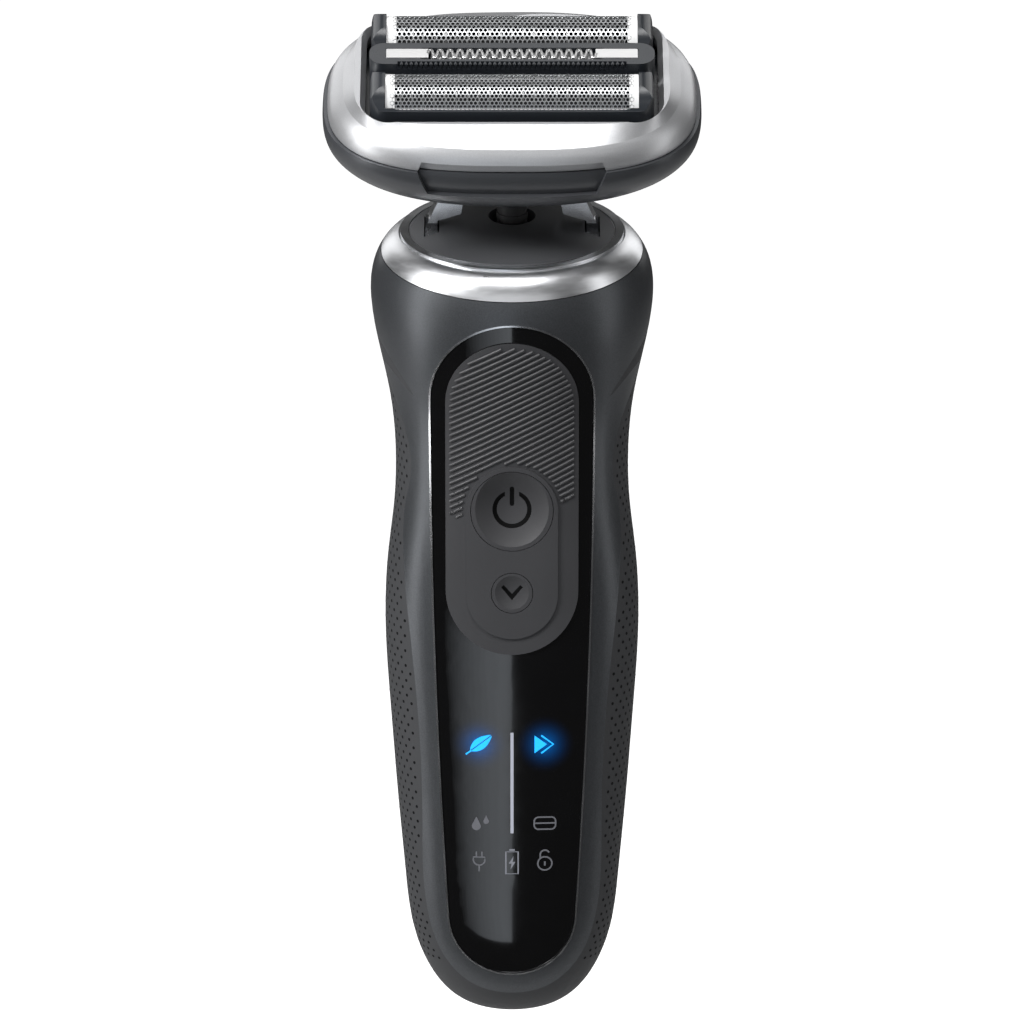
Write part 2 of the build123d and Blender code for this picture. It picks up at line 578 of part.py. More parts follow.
def make_foil_unit(name, y):
    """One floating foil with its frame, cutter and springs, centred at y on the head."""
    half, radius = FOIL_LENGTH / 2, FOIL_RADIUS
    low, wall_top, end_top = 2.6, 7.1, FOIL_AXIS_H + radius + 0.05
    depth = 4.65
    cheek = Pos(0, y, 0) * extrude(RectangleRounded(2 * UNIT_HALF, 2 * depth, 2.6), end_top)
    cheek -= block((-30, 30), (-30, 30), (-1, low))
    profile = Pos(0, end_top / 2) * RectangleRounded(2 * UNIT_HALF, end_top, 2.4)
    cheek = cheek & prism(profile, y + depth + 1, y - depth - 1)
    window_height = 12.0
    window = Pos(0, wall_top + window_height / 2) * RectangleRounded(2 * half, window_height, 2.4)
    cheek -= prism(window, y + depth + 1, y - depth - 1)
    crown = Pos(0, y, FOIL_AXIS_H) * Rot(0, 90, 0) * Cylinder(radius + 0.35, 2 * UNIT_HALF + 1)
    crown += block((-30, 30), (y - depth, y + depth), (0, FOIL_AXIS_H + 1.3))
    cheek = cheek & crown
    cheek -= block((-half, half), (y - radius - 0.02, y + radius + 0.02), (low - 1, 20))
    rail = block((-half, half), (y - 4.4, y + 4.4), (low, low + 0.6))
    rail -= block((-17, 17), (y - 3, y + 3), (0, 9))
    tube = Cylinder(radius, 2 * half - 0.1) - Cylinder(radius - FOIL_SKIN, 60)
    foil = Pos(0, y, FOIL_AXIS_H) * Rot(0, 90, 0) * tube
    foil = foil & block((-30, 30), (-30, 30), (FOIL_AXIS_H, 20))
    for side in (-1, 1):
        skirt = sorted((y + side * radius, y + side * (radius - FOIL_SKIN)))
        foil += block((-half + 0.05, half - 0.05), skirt, (FOIL_AXIS_H - 1.6, FOIL_AXIS_H))
    frame = cheek + rail
    for side in (-1, 1):
        frame -= Pos(side * SPRING_X, y, low + 0.9) * Cylinder(1.15, 2.4)

    blade_radius = radius - FOIL_SKIN - 0.08
    blade_half = 17.6
    pitch = 1.76
    count = int(2 * blade_half / pitch) + 1
    blades = []
    for i in range(count):
        x = -blade_half + pitch * i
        disc = Pos(x, y, FOIL_AXIS_H) * Rot(0, 90, 0) * Cylinder(blade_radius, 0.25)
        blades.append(disc & block((-30, 30), (-30, 30), (FOIL_AXIS_H - 0.6, 20)))
    carrier = block((-17.9, 17.9), (y - 2.8, y + 2.8), (FOIL_AXIS_H - 2.4, FOIL_AXIS_H - 0.6))
    carrier += block((-2.6, 2.6), (y - 2.0, y + 2.0), (1.7, FOIL_AXIS_H - 2.3))
    carrier -= block((-1.75, 1.75), (y - 1.35, y + 1.35), (0, FOIL_AXIS_H - 1.0))
    springs = []
    for side in (-1, 1):
        springs.append(Pos(side * SPRING_X, y, 1.4) * coil_spring(0.85, 0.28, 3.0, 4))
    parts = {
        f"{name}_foil_frame": frame,
        f"{name}_foil": foil,
        f"{name}_cutter_blades": group(blades),
        f"{name}_cutter_carrier": carrier,
        f"{name}_foil_springs": group(springs),
    }
    return {key: HEAD * shape for key, shape in parts.items()}


def make_trimmer():
    """The floating middle trimmer between the two foils."""
    top = 9.3
    low = 2.6
    body = extrude(Pos(0, 0, low) * RectangleRounded(2 * UNIT_HALF + 0.4, 5.6, 2.4), top - low)
    body -= block((-20.1, 20.1), (-1.3, 1.3), (top - 0.3, 20))
    body -= block((-14.4, 14.4), (-1.5, 1.5), (5.2, 20))
    body -= block((-4, 4), (-1.7, 1.7), (0, 8))
    body -= block((-18.2, 18.2), (-3.5, -2.1), (top - 1.0, top + 1))
    for side in (-1, 1):
        body -= Pos(side * SPRING_X, 0, low + 0.9) * Cylinder(1.15, 2.4)

    # The fixed blade is a strip cut from both edges in turn, so that it runs in waves.
    waves, wave_half = 16, 13.4
    blade = block((-20, 20), (-1.2, 1.2), (top - 0.28, top + 0.06))
    for i in range(waves + 1):
        x = -wave_half + 2 * wave_half * i / waves
        edge = (-2.0, 0.55) if i % 2 else (-0.55, 2.0)
        blade -= block((x - 0.3, x + 0.3), edge, (top - 1, top + 1))

    cutter = block((-12.9, 12.9), (-1.2, 1.2), (top - 1.3, top - 0.75))
    cutter += block((-2.2, 2.2), (-1.2, 1.2), (4.2, top - 1.2))
    cutter -= block((-1.35, 1.35), (-1.25, 1.25), (4, top - 2.3))
    springs = []
    for side in (-1, 1):
        springs.append(Pos(side * SPRING_X, 0, 1.4) * coil_spring(0.85, 0.28, 3.0, 4))
    parts = {
        "trimmer_frame": body,
        "trimmer_blade": blade,
        "trimmer_cutter": cutter,
        "trimmer_springs": group(springs),
    }
    return {key: HEAD * shape for key, shape in parts.items()}


def main():
    nodes = {}
    nodes.update(make_handle())
    nodes.update(make_inside())
    nodes.update(make_neck())
    nodes.update(make_base())
    nodes.update(make_cassette())
    nodes.update(make_foil_unit("front", -FOIL_SPACING))
    nodes.update(make_foil_unit("rear", FOIL_SPACING))
    nodes.update(make_trimmer())
    os.makedirs("parts", exist_ok=True)
    for name, shape in nodes.items():
        export_step(shape, f"parts/{name}.step")
    print(len(nodes), "nodes")


main()
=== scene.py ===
# %% [markdown]
# # A cordless foil shaver
# The engineering model of the shaver already has every part, its size and its joints.
# This lesson gives it its looks: satin metal, soft rubber, gloss black glass, and the fine
# pieces that a machine makes by the hundred, such as the holes of the foils.

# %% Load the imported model
import json
from math import cos, pi, radians, sin, sqrt

import bmesh
import bpy
from mathutils import Matrix, Vector
from mathutils.bvhtree import BVHTree


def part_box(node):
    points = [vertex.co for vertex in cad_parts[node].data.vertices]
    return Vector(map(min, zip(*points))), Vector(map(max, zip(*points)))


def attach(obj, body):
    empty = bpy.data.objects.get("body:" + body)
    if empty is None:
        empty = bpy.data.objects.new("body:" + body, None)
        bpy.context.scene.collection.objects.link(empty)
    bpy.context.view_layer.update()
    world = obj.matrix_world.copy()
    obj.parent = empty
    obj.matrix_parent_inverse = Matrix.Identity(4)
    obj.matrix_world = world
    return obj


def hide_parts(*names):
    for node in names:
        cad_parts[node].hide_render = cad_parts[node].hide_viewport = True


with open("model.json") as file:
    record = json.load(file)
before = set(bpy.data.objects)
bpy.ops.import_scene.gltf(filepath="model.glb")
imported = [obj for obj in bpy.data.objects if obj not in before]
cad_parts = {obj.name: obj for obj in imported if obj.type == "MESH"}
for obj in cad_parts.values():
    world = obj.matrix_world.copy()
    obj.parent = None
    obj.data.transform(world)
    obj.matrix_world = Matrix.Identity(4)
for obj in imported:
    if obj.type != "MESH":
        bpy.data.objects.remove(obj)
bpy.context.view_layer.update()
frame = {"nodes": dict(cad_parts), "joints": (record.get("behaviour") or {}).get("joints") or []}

MM = 0.001

# %% [markdown]
# The head leans forward on its neck, so pieces on it are laid out in the head's own directions:
# across the head, back over it, and up out of the foils. The joint that lifts the cassette off
# points up, and the other two follow from it.

# %% Directions of the head
lift = next(joint for joint in frame["joints"] if joint["name"] == "cassette_lift")
HEAD_UP = Vector(lift["axis"]).normalized()
HEAD_ACROSS = Vector((1, 0, 0))
HEAD_BACK = HEAD_UP.cross(HEAD_ACROSS)


def reach(node, direction):
    """Lowest and highest place of a node's corners along a direction."""
    places = [corner.co.dot(direction) for corner in frame["nodes"][node].data.vertices]
    return min(places), max(places)


def head_place(back, up):
    """Moves a mesh drawn round the origin (x across, y back, z up) to a place on the head."""
    turn = Matrix((HEAD_ACROSS, HEAD_BACK, HEAD_UP)).transposed().to_4x4()
    return Matrix.Translation(HEAD_BACK * back + HEAD_UP * up) @ turn


print("head up:", [round(value, 4) for value in HEAD_UP])

# %% [markdown]
# A finish and a Geometry Nodes tree are both built from nodes. One small class adds a node from
# its type, its settings and its inputs, and another wraps each output, so that sums such as
# `1 - mask` can be written as plain Python and turn into Math nodes.

# %% Node helpers


class Out:
    """A node's output. Arithmetic on it adds Math nodes to the same tree."""

    def __init__(self, nodes, socket):
        self.nodes = nodes
        self.socket = socket

    def math(self, operation, first, second=0.0):
        return self.nodes.add("ShaderNodeMath", {"operation": operation}, {0: first, 1: second})

    def __add__(self, other):
        return self.math("ADD", self, other)

    def __sub__(self, other):
        return self.math("SUBTRACT", self, other)

    def __rsub__(self, other):
        return self.math("SUBTRACT", other, self)

    def __mul__(self, other):
        return self.math("MULTIPLY", self, other)

    def __truediv__(self, other):
        return self.math("DIVIDE", self, other)

    __radd__ = __add__
    __rmul__ = __mul__


class Nodes:
    """A node tree that grows by one call for each node."""

    def __init__(self, tree):
        self.tree = tree

    def add(self, kind, settings=None, inputs=None, output=0):
        node = self.tree.nodes.new(kind)
        for name, value in (settings or {}).items():
            setattr(node, name, value)
        for name, value in (inputs or {}).items():
            self.put(node.inputs[name], value)
        return Out(self, node.outputs[output]) if node.outputs else node

    def put(self, socket, value):
        if isinstance(value, Out):
            self.tree.links.new(value.socket, socket)
        else:
            socket.default_value = value

    def split(self, vector):
        """The x, y and z of a vector."""
        parts = self.add("ShaderNodeSeparateXYZ", None, {"Vector": vector})
        return [Out(self, socket) for socket in parts.socket.node.outputs]


print("node helpers ready")

# %% [markdown]
# Every finish starts from the Principled shader. Its fixed values, such as the metallic share,
# are set on its own sockets. Fine grain comes from noise on Object coordinates, which are in
# metres, so a scale of 4000 gives grains a quarter of a millimetre across.

# %% Finishes: the base class


class Finish(Nodes):
    """A material with one Principled shader, and nodes that vary it over the surface."""

    def __init__(self, name, colour, roughness, **fixed):
        self.material = bpy.data.materials.new(name)
        self.material.use_nodes = True
        super().__init__(self.material.node_tree)
        self.shader = self.tree.nodes["Principled BSDF"]
        self.colour, self.roughness = colour, roughness
        self.feed("Base Color", (*colour, 1))
        self.feed("Roughness", roughness)
        for socket, value in fixed.items():
            self.feed(socket.replace("_", " "), value)

    def feed(self, socket, value):
        self.put(self.shader.inputs[socket], value)

    def place(self, centre=(0, 0, 0), stretch=(1, 1, 1), turn=(0, 0, 0)):
        """Object coordinates, centred, turned and stretched."""
        coordinates = self.add("ShaderNodeTexCoord", output="Object")
        inputs = {"Vector": coordinates, "Rotation": turn, "Scale": stretch}
        shift = [-middle * size for middle, size in zip(centre, stretch)]
        inputs["Location"] = shift
        return self.add("ShaderNodeMapping", None, inputs)

    def noise(self, vector, scale, detail=2.0):
        return self.add("ShaderNodeTexNoise", None, {"Vector": vector, "Scale": scale, "Detail": detail})

    def two_tone(self, mask, dark, light):
        """A colour between dark and light times the finish's own colour."""
        ends = [(*[channel * shade for channel in self.colour], 1) for shade in (dark, light)]
        mixed = self.add(
            "ShaderNodeMix", {"data_type": "RGBA"}, {"Factor": mask, 6: ends[0], 7: ends[1]}, output=2
        )
        self.feed("Base Color", mixed)

    def bump(self, height, strength, depth):
        """Raises the surface by height, which is 0 to 1, times depth in metres."""
        inputs = {"Height": height, "Strength": strength, "Distance": depth}
        self.feed("Normal", self.add("ShaderNodeBump", None, inputs))


def grained(name, colour, roughness, grain=4000, tooth=0.25, depth=0.01 * MM, wander=0.12, **fixed):
    """Moulded plastic, rubber or sprayed paint: a fine even grain and a faint slow change."""
    finish = Finish(name, colour, roughness, **fixed)
    place = finish.place()
    fine = finish.noise(place, grain)
    slow = finish.noise(place, 60, 3)
    finish.two_tone(slow, 1 - wander, 1 + wander)
    finish.feed("Roughness", (slow - 0.5) * 0.12 + (fine - 0.5) * 0.08 + roughness)
    finish.bump(fine, tooth, depth)
    return finish


def brushed(name, colour, roughness, stretch, scale=900, tooth=0.2, **fixed):
    """Metal with fine lines in one direction: noise squeezed across the lines."""
    finish = Finish(name, colour, roughness, Metallic=1.0, **fixed)
    lines = finish.noise(finish.place(stretch=stretch), scale, 4)
    slow = finish.noise(finish.place(), 90)
    finish.two_tone(lines, 0.86, 1.08)
    finish.feed("Roughness", (lines - 0.5) * 0.16 + (slow - 0.5) * 0.1 + roughness)
    finish.bump(lines, tooth, 0.004 * MM)
    return finish


def flaked(name, colour, roughness, shades, spread, cloud, tooth, depth, **fixed):
    """Sprayed metallic paint: fine flakes, and a slow cloud in the gloss."""
    finish = Finish(name, colour, roughness, **fixed)
    place = finish.place()
    flakes = finish.noise(place, 5200, 1)
    slow = finish.noise(place, cloud, 2)
    finish.two_tone(flakes, *shades)
    finish.feed("Roughness", (slow - 0.5) * spread[0] + (flakes - 0.5) * spread[1] + roughness)
    finish.bump(flakes, tooth, depth)
    return finish


def dress(finish, *nodes):
    """Gives CAD nodes a finish."""
    for node in nodes:
        mesh = frame["nodes"][node].data
        mesh.materials.clear()
        mesh.materials.append(finish.material)


print("finish makers ready")

# %% [markdown]
# The handle has three dark finishes that differ mostly in gloss: a sprayed metallic front shell,
# a soft rubber grip that wraps the sides and back, and a gloss black panel that carries the
# signs. A chromed collar and a thin bright line round the panel set them off.

# %% Finishes of the handle
sprayed = {"shades": (0.72, 1.3), "spread": (0.08, 0.1), "cloud": 45, "tooth": 0.22, "depth": 0.01 * MM}
shell_paint = flaked("shell_paint", (0.07, 0.074, 0.08), 0.36, **sprayed, Metallic=0.6)

soft = {"grain": 3200, "tooth": 0.4, "Specular_IOR_Level": 0.35}
grip_rubber = grained("grip_rubber", (0.042, 0.043, 0.046), 0.62, **soft)
# The dimples' near-black colour is painted shade, which stands in for the shade inside each hollow.
dimple_rubber = grained("dimple_rubber", (0.004, 0.004, 0.0045), 0.8, grain=3200, Specular_IOR_Level=0.15)
pad_rubber = grained("pad_rubber", (0.045, 0.045, 0.048), 0.5, grain=4200, tooth=0.25, Specular_IOR_Level=0.4)
rib_rubber = grained("rib_rubber", (0.045, 0.045, 0.048), 0.42, grain=4200, Specular_IOR_Level=0.5)
socket_plastic = grained("socket_plastic", (0.012, 0.012, 0.013), 0.5)
dress(shell_paint, "front_shell")
dress(grip_rubber, "rubber_grip")
dress(pad_rubber, "control_pad", "power_button", "mode_button")
dress(socket_plastic, "charging_socket")

collar_chrome = brushed("collar_chrome", (0.78, 0.79, 0.81), 0.32, (0.15, 0.15, 1.0), scale=2600, tooth=0.06)
trim_chrome = brushed("trim_chrome", (0.7, 0.71, 0.73), 0.22, (1, 1, 0.1))
dome_metal = grained("dome_metal", (0.11, 0.113, 0.12), 0.4, grain=5200, tooth=0.2, Metallic=0.5)
dress(collar_chrome, "collar_ring")
dress(trim_chrome, "panel_trim")
dress(dome_metal, "neck_dome")

panel_gloss = Finish("panel_gloss", (0.0022, 0.0022, 0.0025), 0.07, Coat_Weight=0.6, Coat_Roughness=0.03)
panel_dust = panel_gloss.noise(panel_gloss.place(), 260, 4)
panel_gloss.two_tone(panel_dust, 0.7, 1.3)
panel_gloss.feed("Roughness", panel_dust * 0.05 + 0.05)
mark_gloss = Finish("mark_gloss", (0.001, 0.001, 0.001), 0.4, Specular_IOR_Level=0.15)
mark_dust = mark_gloss.noise(mark_gloss.place(), 900, 2)
mark_gloss.feed("Roughness", mark_dust * 0.1 + 0.38)
dress(panel_gloss, "display_panel")
dress(mark_gloss, "power_mark", "mode_mark")
print("handle finishes:", len(bpy.data.materials))

# %% [markdown]
# The head is brighter. The cassette frame is silver, the base below it is a dark anthracite, and
# the foils, trimmer and cutters are bare steel. The yoke that carries the head is polished.

# %% Finishes of the head and neck
fine = {"shades": (0.9, 1.08), "spread": (0.06, 0.06), "cloud": 50, "tooth": 0.12, "depth": 0.006 * MM}
frame_silver = flaked("frame_silver", (0.6, 0.605, 0.62), 0.42, **fine, Metallic=0.8)
base_satin = grained("base_satin", (0.06, 0.063, 0.069), 0.34, grain=5200, tooth=0.18, Metallic=0.3)
unit_plastic = grained("unit_plastic", (0.018, 0.021, 0.026), 0.3, grain=4200, tooth=0.15)
foil_steel = brushed("foil_steel", (0.42, 0.43, 0.44), 0.38, (0.2, 1, 1), scale=1400, tooth=0.1)
blade_steel = brushed("blade_steel", (0.72, 0.72, 0.72), 0.36, (0.12, 1, 1), scale=1800)
cutter_steel = brushed("cutter_steel", (0.2, 0.2, 0.2), 0.35, (1, 0.2, 0.2))
yoke_steel = brushed("yoke_steel", (0.62, 0.63, 0.65), 0.24, (1, 1, 0.15))
boot_rubber = grained("boot_rubber", (0.014, 0.014, 0.015), 0.6)
dress(frame_silver, "cassette_frame")
dress(base_satin, "head_base", "head_plate", "cassette_catches")
dress(unit_plastic, "cassette_tray", "trimmer_frame", "front_foil_frame", "rear_foil_frame")
dress(foil_steel, "front_foil", "rear_foil")
dress(blade_steel, "trimmer_blade", "trimmer_cutter")
dress(cutter_steel, "front_cutter_blades", "rear_cutter_blades")
dress(yoke_steel, "neck_yoke", "tilt_pins", "rock_pins", "drive_pin")
dress(boot_rubber, "neck_boot")
print("materials so far:", len(bpy.data.materials))

# %% [markdown]
# Inside are the battery, board, chassis and drive. They show when the cassette is lifted, or when
# the shaver is taken apart, so they get real finishes too.

# %% Finishes of the inside
inner_plastic = grained("inner_plastic", (0.09, 0.09, 0.095), 0.5, grain=2600)
carrier_plastic = grained("carrier_plastic", (0.02, 0.02, 0.022), 0.42)
light_plastic = grained("light_plastic", (0.75, 0.78, 0.8), 0.4, grain=1500)
contact_gold = brushed("contact_gold", (0.85, 0.62, 0.28), 0.25, (1, 1, 0.2))
screw_steel = brushed("screw_steel", (0.6, 0.6, 0.61), 0.3, (1, 0.2, 1))
core_steel = brushed("core_steel", (0.25, 0.25, 0.26), 0.45, (1, 0.1, 1))
coil_copper = brushed("coil_copper", (0.72, 0.3, 0.13), 0.3, (0.1, 0.1, 1), scale=3000, tooth=0.5)
battery_sleeve = grained("battery_sleeve", (0.03, 0.09, 0.22), 0.28, grain=900, wander=0.2)
board_mask = grained("board_mask", (0.01, 0.07, 0.03), 0.3, grain=1800, wander=0.3)
dress(inner_plastic, "rear_shell", "chassis", "battery_cradle", "drive_bridge")
dress(carrier_plastic, "front_cutter_carrier", "rear_cutter_carrier", "board_chips", "tact_switches")
dress(carrier_plastic, "charge_transformer")
dress(light_plastic, "indicator_leds", "light_guide")
dress(contact_gold, "socket_pins", "battery_tabs")
dress(screw_steel, "chassis_screws", "motor_flexures", "motor_magnets")
dress(screw_steel, "front_foil_springs", "rear_foil_springs", "trimmer_springs")
dress(core_steel, "motor_case", "motor_core", "magnet_carrier")
dress(coil_copper, "motor_coil")
dress(battery_sleeve, "battery_cell")
dress(board_mask, "circuit_board")
bare = [name for name, node in frame["nodes"].items() if not node.data.materials[0].use_nodes]
print("materials:", len(bpy.data.materials), "nodes without a finish:", bare)

# %% [markdown]
# Several pieces are grown by Geometry Nodes. The helper makes a tree with named inputs, puts it
# on an object, sets each input by its identifier, and keeps the result as a plain mesh.

# %% Geometry Nodes helpers


class Growth(Nodes):
    """A Geometry Nodes tree with named inputs, which ends in real geometry with a material."""

    KINDS = {float: "NodeSocketFloat", int: "NodeSocketInt"}

    def __init__(self, name, **sizes):
        super().__init__(bpy.data.node_groups.new(name, "GeometryNodeTree"))
        self.sizes = sizes
        ports = self.tree.interface
        ports.new_socket("Geometry", in_out="INPUT", socket_type="NodeSocketGeometry")
        for size, value in sizes.items():
            ports.new_socket(size, in_out="INPUT", socket_type=self.KINDS[type(value)])
        ports.new_socket("Geometry", in_out="OUTPUT", socket_type="NodeSocketGeometry")
        self.source = self.tree.nodes.new("NodeGroupInput")

    def __getitem__(self, name):
        return Out(self, self.source.outputs[name])

    def finish(self, geometry, material):
        """Ends the tree: instances become real, and all of it gets the material."""
        real = self.add("GeometryNodeRealizeInstances", None, {"Geometry": geometry})
        painted = self.add("GeometryNodeSetMaterial", None, {"Geometry": real, "Material": material})
        self.add("NodeGroupOutput", None, {"Geometry": painted})

    def grow(self, name, start, place=None):
        """Runs the tree on a mesh and returns a plain mesh object, moved to its place."""
        holder = bpy.data.objects.new(name + "_seed", start)
        bpy.context.scene.collection.objects.link(holder)
        modifier = holder.modifiers.new("growth", "NODES")
        modifier.node_group = self.tree
        for item in self.tree.interface.items_tree:
            if item.in_out == "INPUT" and item.name in self.sizes:
                modifier[item.identifier] = self.sizes[item.name]
        depsgraph = bpy.context.evaluated_depsgraph_get()
        mesh = bpy.data.meshes.new_from_object(holder.evaluated_get(depsgraph))
        holder.modifiers.remove(modifier)
        bpy.data.objects.remove(holder)
        return as_piece(name, mesh, place)


def as_piece(name, mesh, place=None):
    """A mesh as an object at the origin, with its place in its corners."""
    if place is not None:
        mesh.transform(place)
    piece = bpy.data.objects.new(name, mesh)
    bpy.context.scene.collection.objects.link(piece)
    return piece


def triangles(piece):
    piece.data.calc_loop_triangles()
    return len(piece.data.loop_triangles)


print("growth helpers ready")

# %% [markdown]
# A shaving foil is a steel sheet about a tenth of a millimetre thick, etched with hundreds of
# holes and bent over the cutter. The tree lays out one six-sided ring for each hole, sets every
# other row half a step across, merges the rings into one sheet and rolls it up. Modelling the
# holes, and not painting them, lets the cutter show through and the edges catch the light.

# %% Foil sheet tree


def foil_tree(name, length, arc, radius, pitch, web, material):
    """A rolled sheet of six-sided holes, pitch apart, with webs that are web wide."""
    rows = int(arc / (pitch * sqrt(3) / 2))
    columns = int(length / pitch)
    tree = Growth(name, Pitch=pitch, Web=web, Radius=radius, Rows=rows, Columns=columns)
    row_step = tree["Pitch"] * (sqrt(3) / 2)
    ring_radius = tree["Pitch"] * (1 / sqrt(3))
    ring = {"Vertices": 6, "Radius": ring_radius}
    disc = tree.add("GeometryNodeMeshCircle", {"fill_type": "NGON"}, ring)
    disc = tree.add("GeometryNodeTransform", None, {"Geometry": disc, "Rotation": (0, 0, pi / 6)})
    rim = tree.add("GeometryNodeExtrudeMesh", {"mode": "FACES"}, {"Mesh": disc, "Offset Scale": 0.0})
    top = Out(tree, rim.socket.node.outputs["Top"])
    shrink = 1 - tree["Web"] / tree["Pitch"]
    rim = tree.add("GeometryNodeScaleElements", None, {"Geometry": rim, "Selection": top, "Scale": shrink})
    rim = tree.add("GeometryNodeDeleteGeometry", {"domain": "FACE"}, {"Geometry": rim, "Selection": top})

    width = (tree["Columns"] - 1) * tree["Pitch"]
    depth = (tree["Rows"] - 1) * row_step
    sizes = {"Size X": width, "Size Y": depth, "Vertices X": tree["Columns"], "Vertices Y": tree["Rows"]}
    grid = tree.add("GeometryNodeMeshGrid", None, sizes, output="Mesh")
    x, y, _ = tree.split(tree.add("GeometryNodeInputPosition"))
    row = tree.add("ShaderNodeMath", {"operation": "ROUND"}, {0: (y + depth * 0.5) / row_step})
    odd = tree.add("ShaderNodeMath", {"operation": "MODULO"}, {0: row, 1: 2.0})
    shift = (odd - 0.5) * tree["Pitch"] * 0.5
    offset = tree.add("ShaderNodeCombineXYZ", None, {"X": shift})
    grid = tree.add("GeometryNodeSetPosition", None, {"Geometry": grid, "Offset": offset})
    holes = tree.add("GeometryNodeInstanceOnPoints", None, {"Points": grid, "Instance": rim})
    sheet = tree.add("GeometryNodeRealizeInstances", None, {"Geometry": holes})
    sheet = tree.add("GeometryNodeMergeByDistance", None, {"Geometry": sheet, "Distance": 0.02 * MM})
    x, y, _ = tree.split(tree.add("GeometryNodeInputPosition"))
    angle = y / tree["Radius"]
    sine = tree.add("ShaderNodeMath", {"operation": "SINE"}, {0: angle})
    cosine = tree.add("ShaderNodeMath", {"operation": "COSINE"}, {0: angle})
    bend = {"X": x, "Y": sine * tree["Radius"], "Z": cosine * tree["Radius"]}
    rolled = tree.add("ShaderNodeCombineXYZ", None, bend)
    sheet = tree.add("GeometryNodeSetPosition", None, {"Geometry": sheet, "Position": rolled})
    tree.finish(sheet, material)
    return tree


def rolled_patch(form, radius, x_range, angle_range, steps=24):
    """Adds a plain stretch of the rolled sheet, from one angle off the crest to another."""
    previous = None
    for i in range(steps + 1):
        angle = angle_range[0] + (angle_range[1] - angle_range[0]) * i / steps
        row = [form.verts.new((x, radius * sin(angle), radius * cos(angle))) for x in x_range]
        if previous:
            form.faces.new((previous[0], previous[1], row[1], row[0]))
        previous = row


def thicken(piece, thickness):
    """Gives a sheet its thickness, inwards, and keeps the result."""
    solid = piece.modifiers.new("sheet", "SOLIDIFY")
    solid.thickness = thickness
    solid.offset = -1
    depsgraph = bpy.context.evaluated_depsgraph_get()
    mesh = bpy.data.meshes.new_from_object(piece.evaluated_get(depsgraph))
    piece.modifiers.remove(solid)
    piece.data = mesh


# %% [markdown]
# The front foil has finer holes than the rear one. The holed sheet stops short of the foil's ends
# and lower edges, and plain steel takes over there, as on the real foil, where it is welded to
# its frame. The two overlap by one hole, and a Solidify modifier gives them the same thickness.

# %% Both foils
FOIL_THICKNESS = 0.08 * MM
HOLED_HALF = 19.2 * MM
HOLED_ARC = radians(78)


def make_foil(side, body, pitch, web):
    """Replaces a plain foil by a sheet with real holes and plain ends."""
    node = side + "_foil"
    low, high = reach(node, HEAD_BACK)
    crest = reach(node, HEAD_UP)[1]
    half = reach(node, HEAD_ACROSS)[1]
    radius = (high - low) / 2
    tree = foil_tree(
        side + "_foil_holes", 2 * HOLED_HALF, 2 * HOLED_ARC * radius, radius, pitch, web, foil_steel.material
    )
    place = head_place((low + high) / 2, crest - radius)
    piece = tree.grow(side + "_foil_sheet", bpy.data.meshes.new("seed"), place)
    form = bmesh.new()
    end = HOLED_HALF - pitch
    edge = HOLED_ARC - pitch / radius
    for ends in ((-half, -end), (end, half)):
        rolled_patch(form, radius, ends, (-pi / 2, pi / 2))
    for angles in ((-pi / 2, -edge), (edge, pi / 2)):
        rolled_patch(form, radius, (-half, half), angles, 4)
    border = bpy.data.meshes.new("border")
    form.to_mesh(border)
    border.transform(place)
    form.free()
    form = bmesh.new()
    form.from_mesh(piece.data)
    form.from_mesh(border)
    for face in form.faces:
        outward = face.normal.dot(face.calc_center_median() - place.translation)
        if outward < 0:
            face.normal_flip()
    form.to_mesh(piece.data)
    form.free()
    thicken(piece, FOIL_THICKNESS)
    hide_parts(node)
    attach(piece, body)
    print(piece.name, "triangles:", triangles(piece))
    return piece


make_foil("front", "front_foil", 0.66 * MM, 0.17 * MM)
make_foil("rear", "rear_foil", 0.74 * MM, 0.2 * MM)

# %% [markdown]
# Between the foils floats a trimmer for longer hairs. Its fixed blade is a steel strip that
# winds from one edge to the other, held by plain plates at both ends, with a dark comb in front.
# The winding is a rule, a flattened sine, so a curve follows it and a flat bar is swept along.

# %% Trimmer blade
WAVES = 17
WAVE_HALF = 13.4 * MM
WAVE_FLATNESS = 1.9
POINTS_PER_WAVE = 18
BLADE_HALF_DEPTH = 1.2 * MM
STRIP_WIDTH = 0.42 * MM
STRIP_HEIGHT = 0.3 * MM

blade_top = reach("trimmer_blade", HEAD_UP)[1]
blade_low, blade_high = reach("trimmer_blade", HEAD_BACK)
blade_place = head_place((blade_low + blade_high) / 2, blade_top - STRIP_HEIGHT / 2)


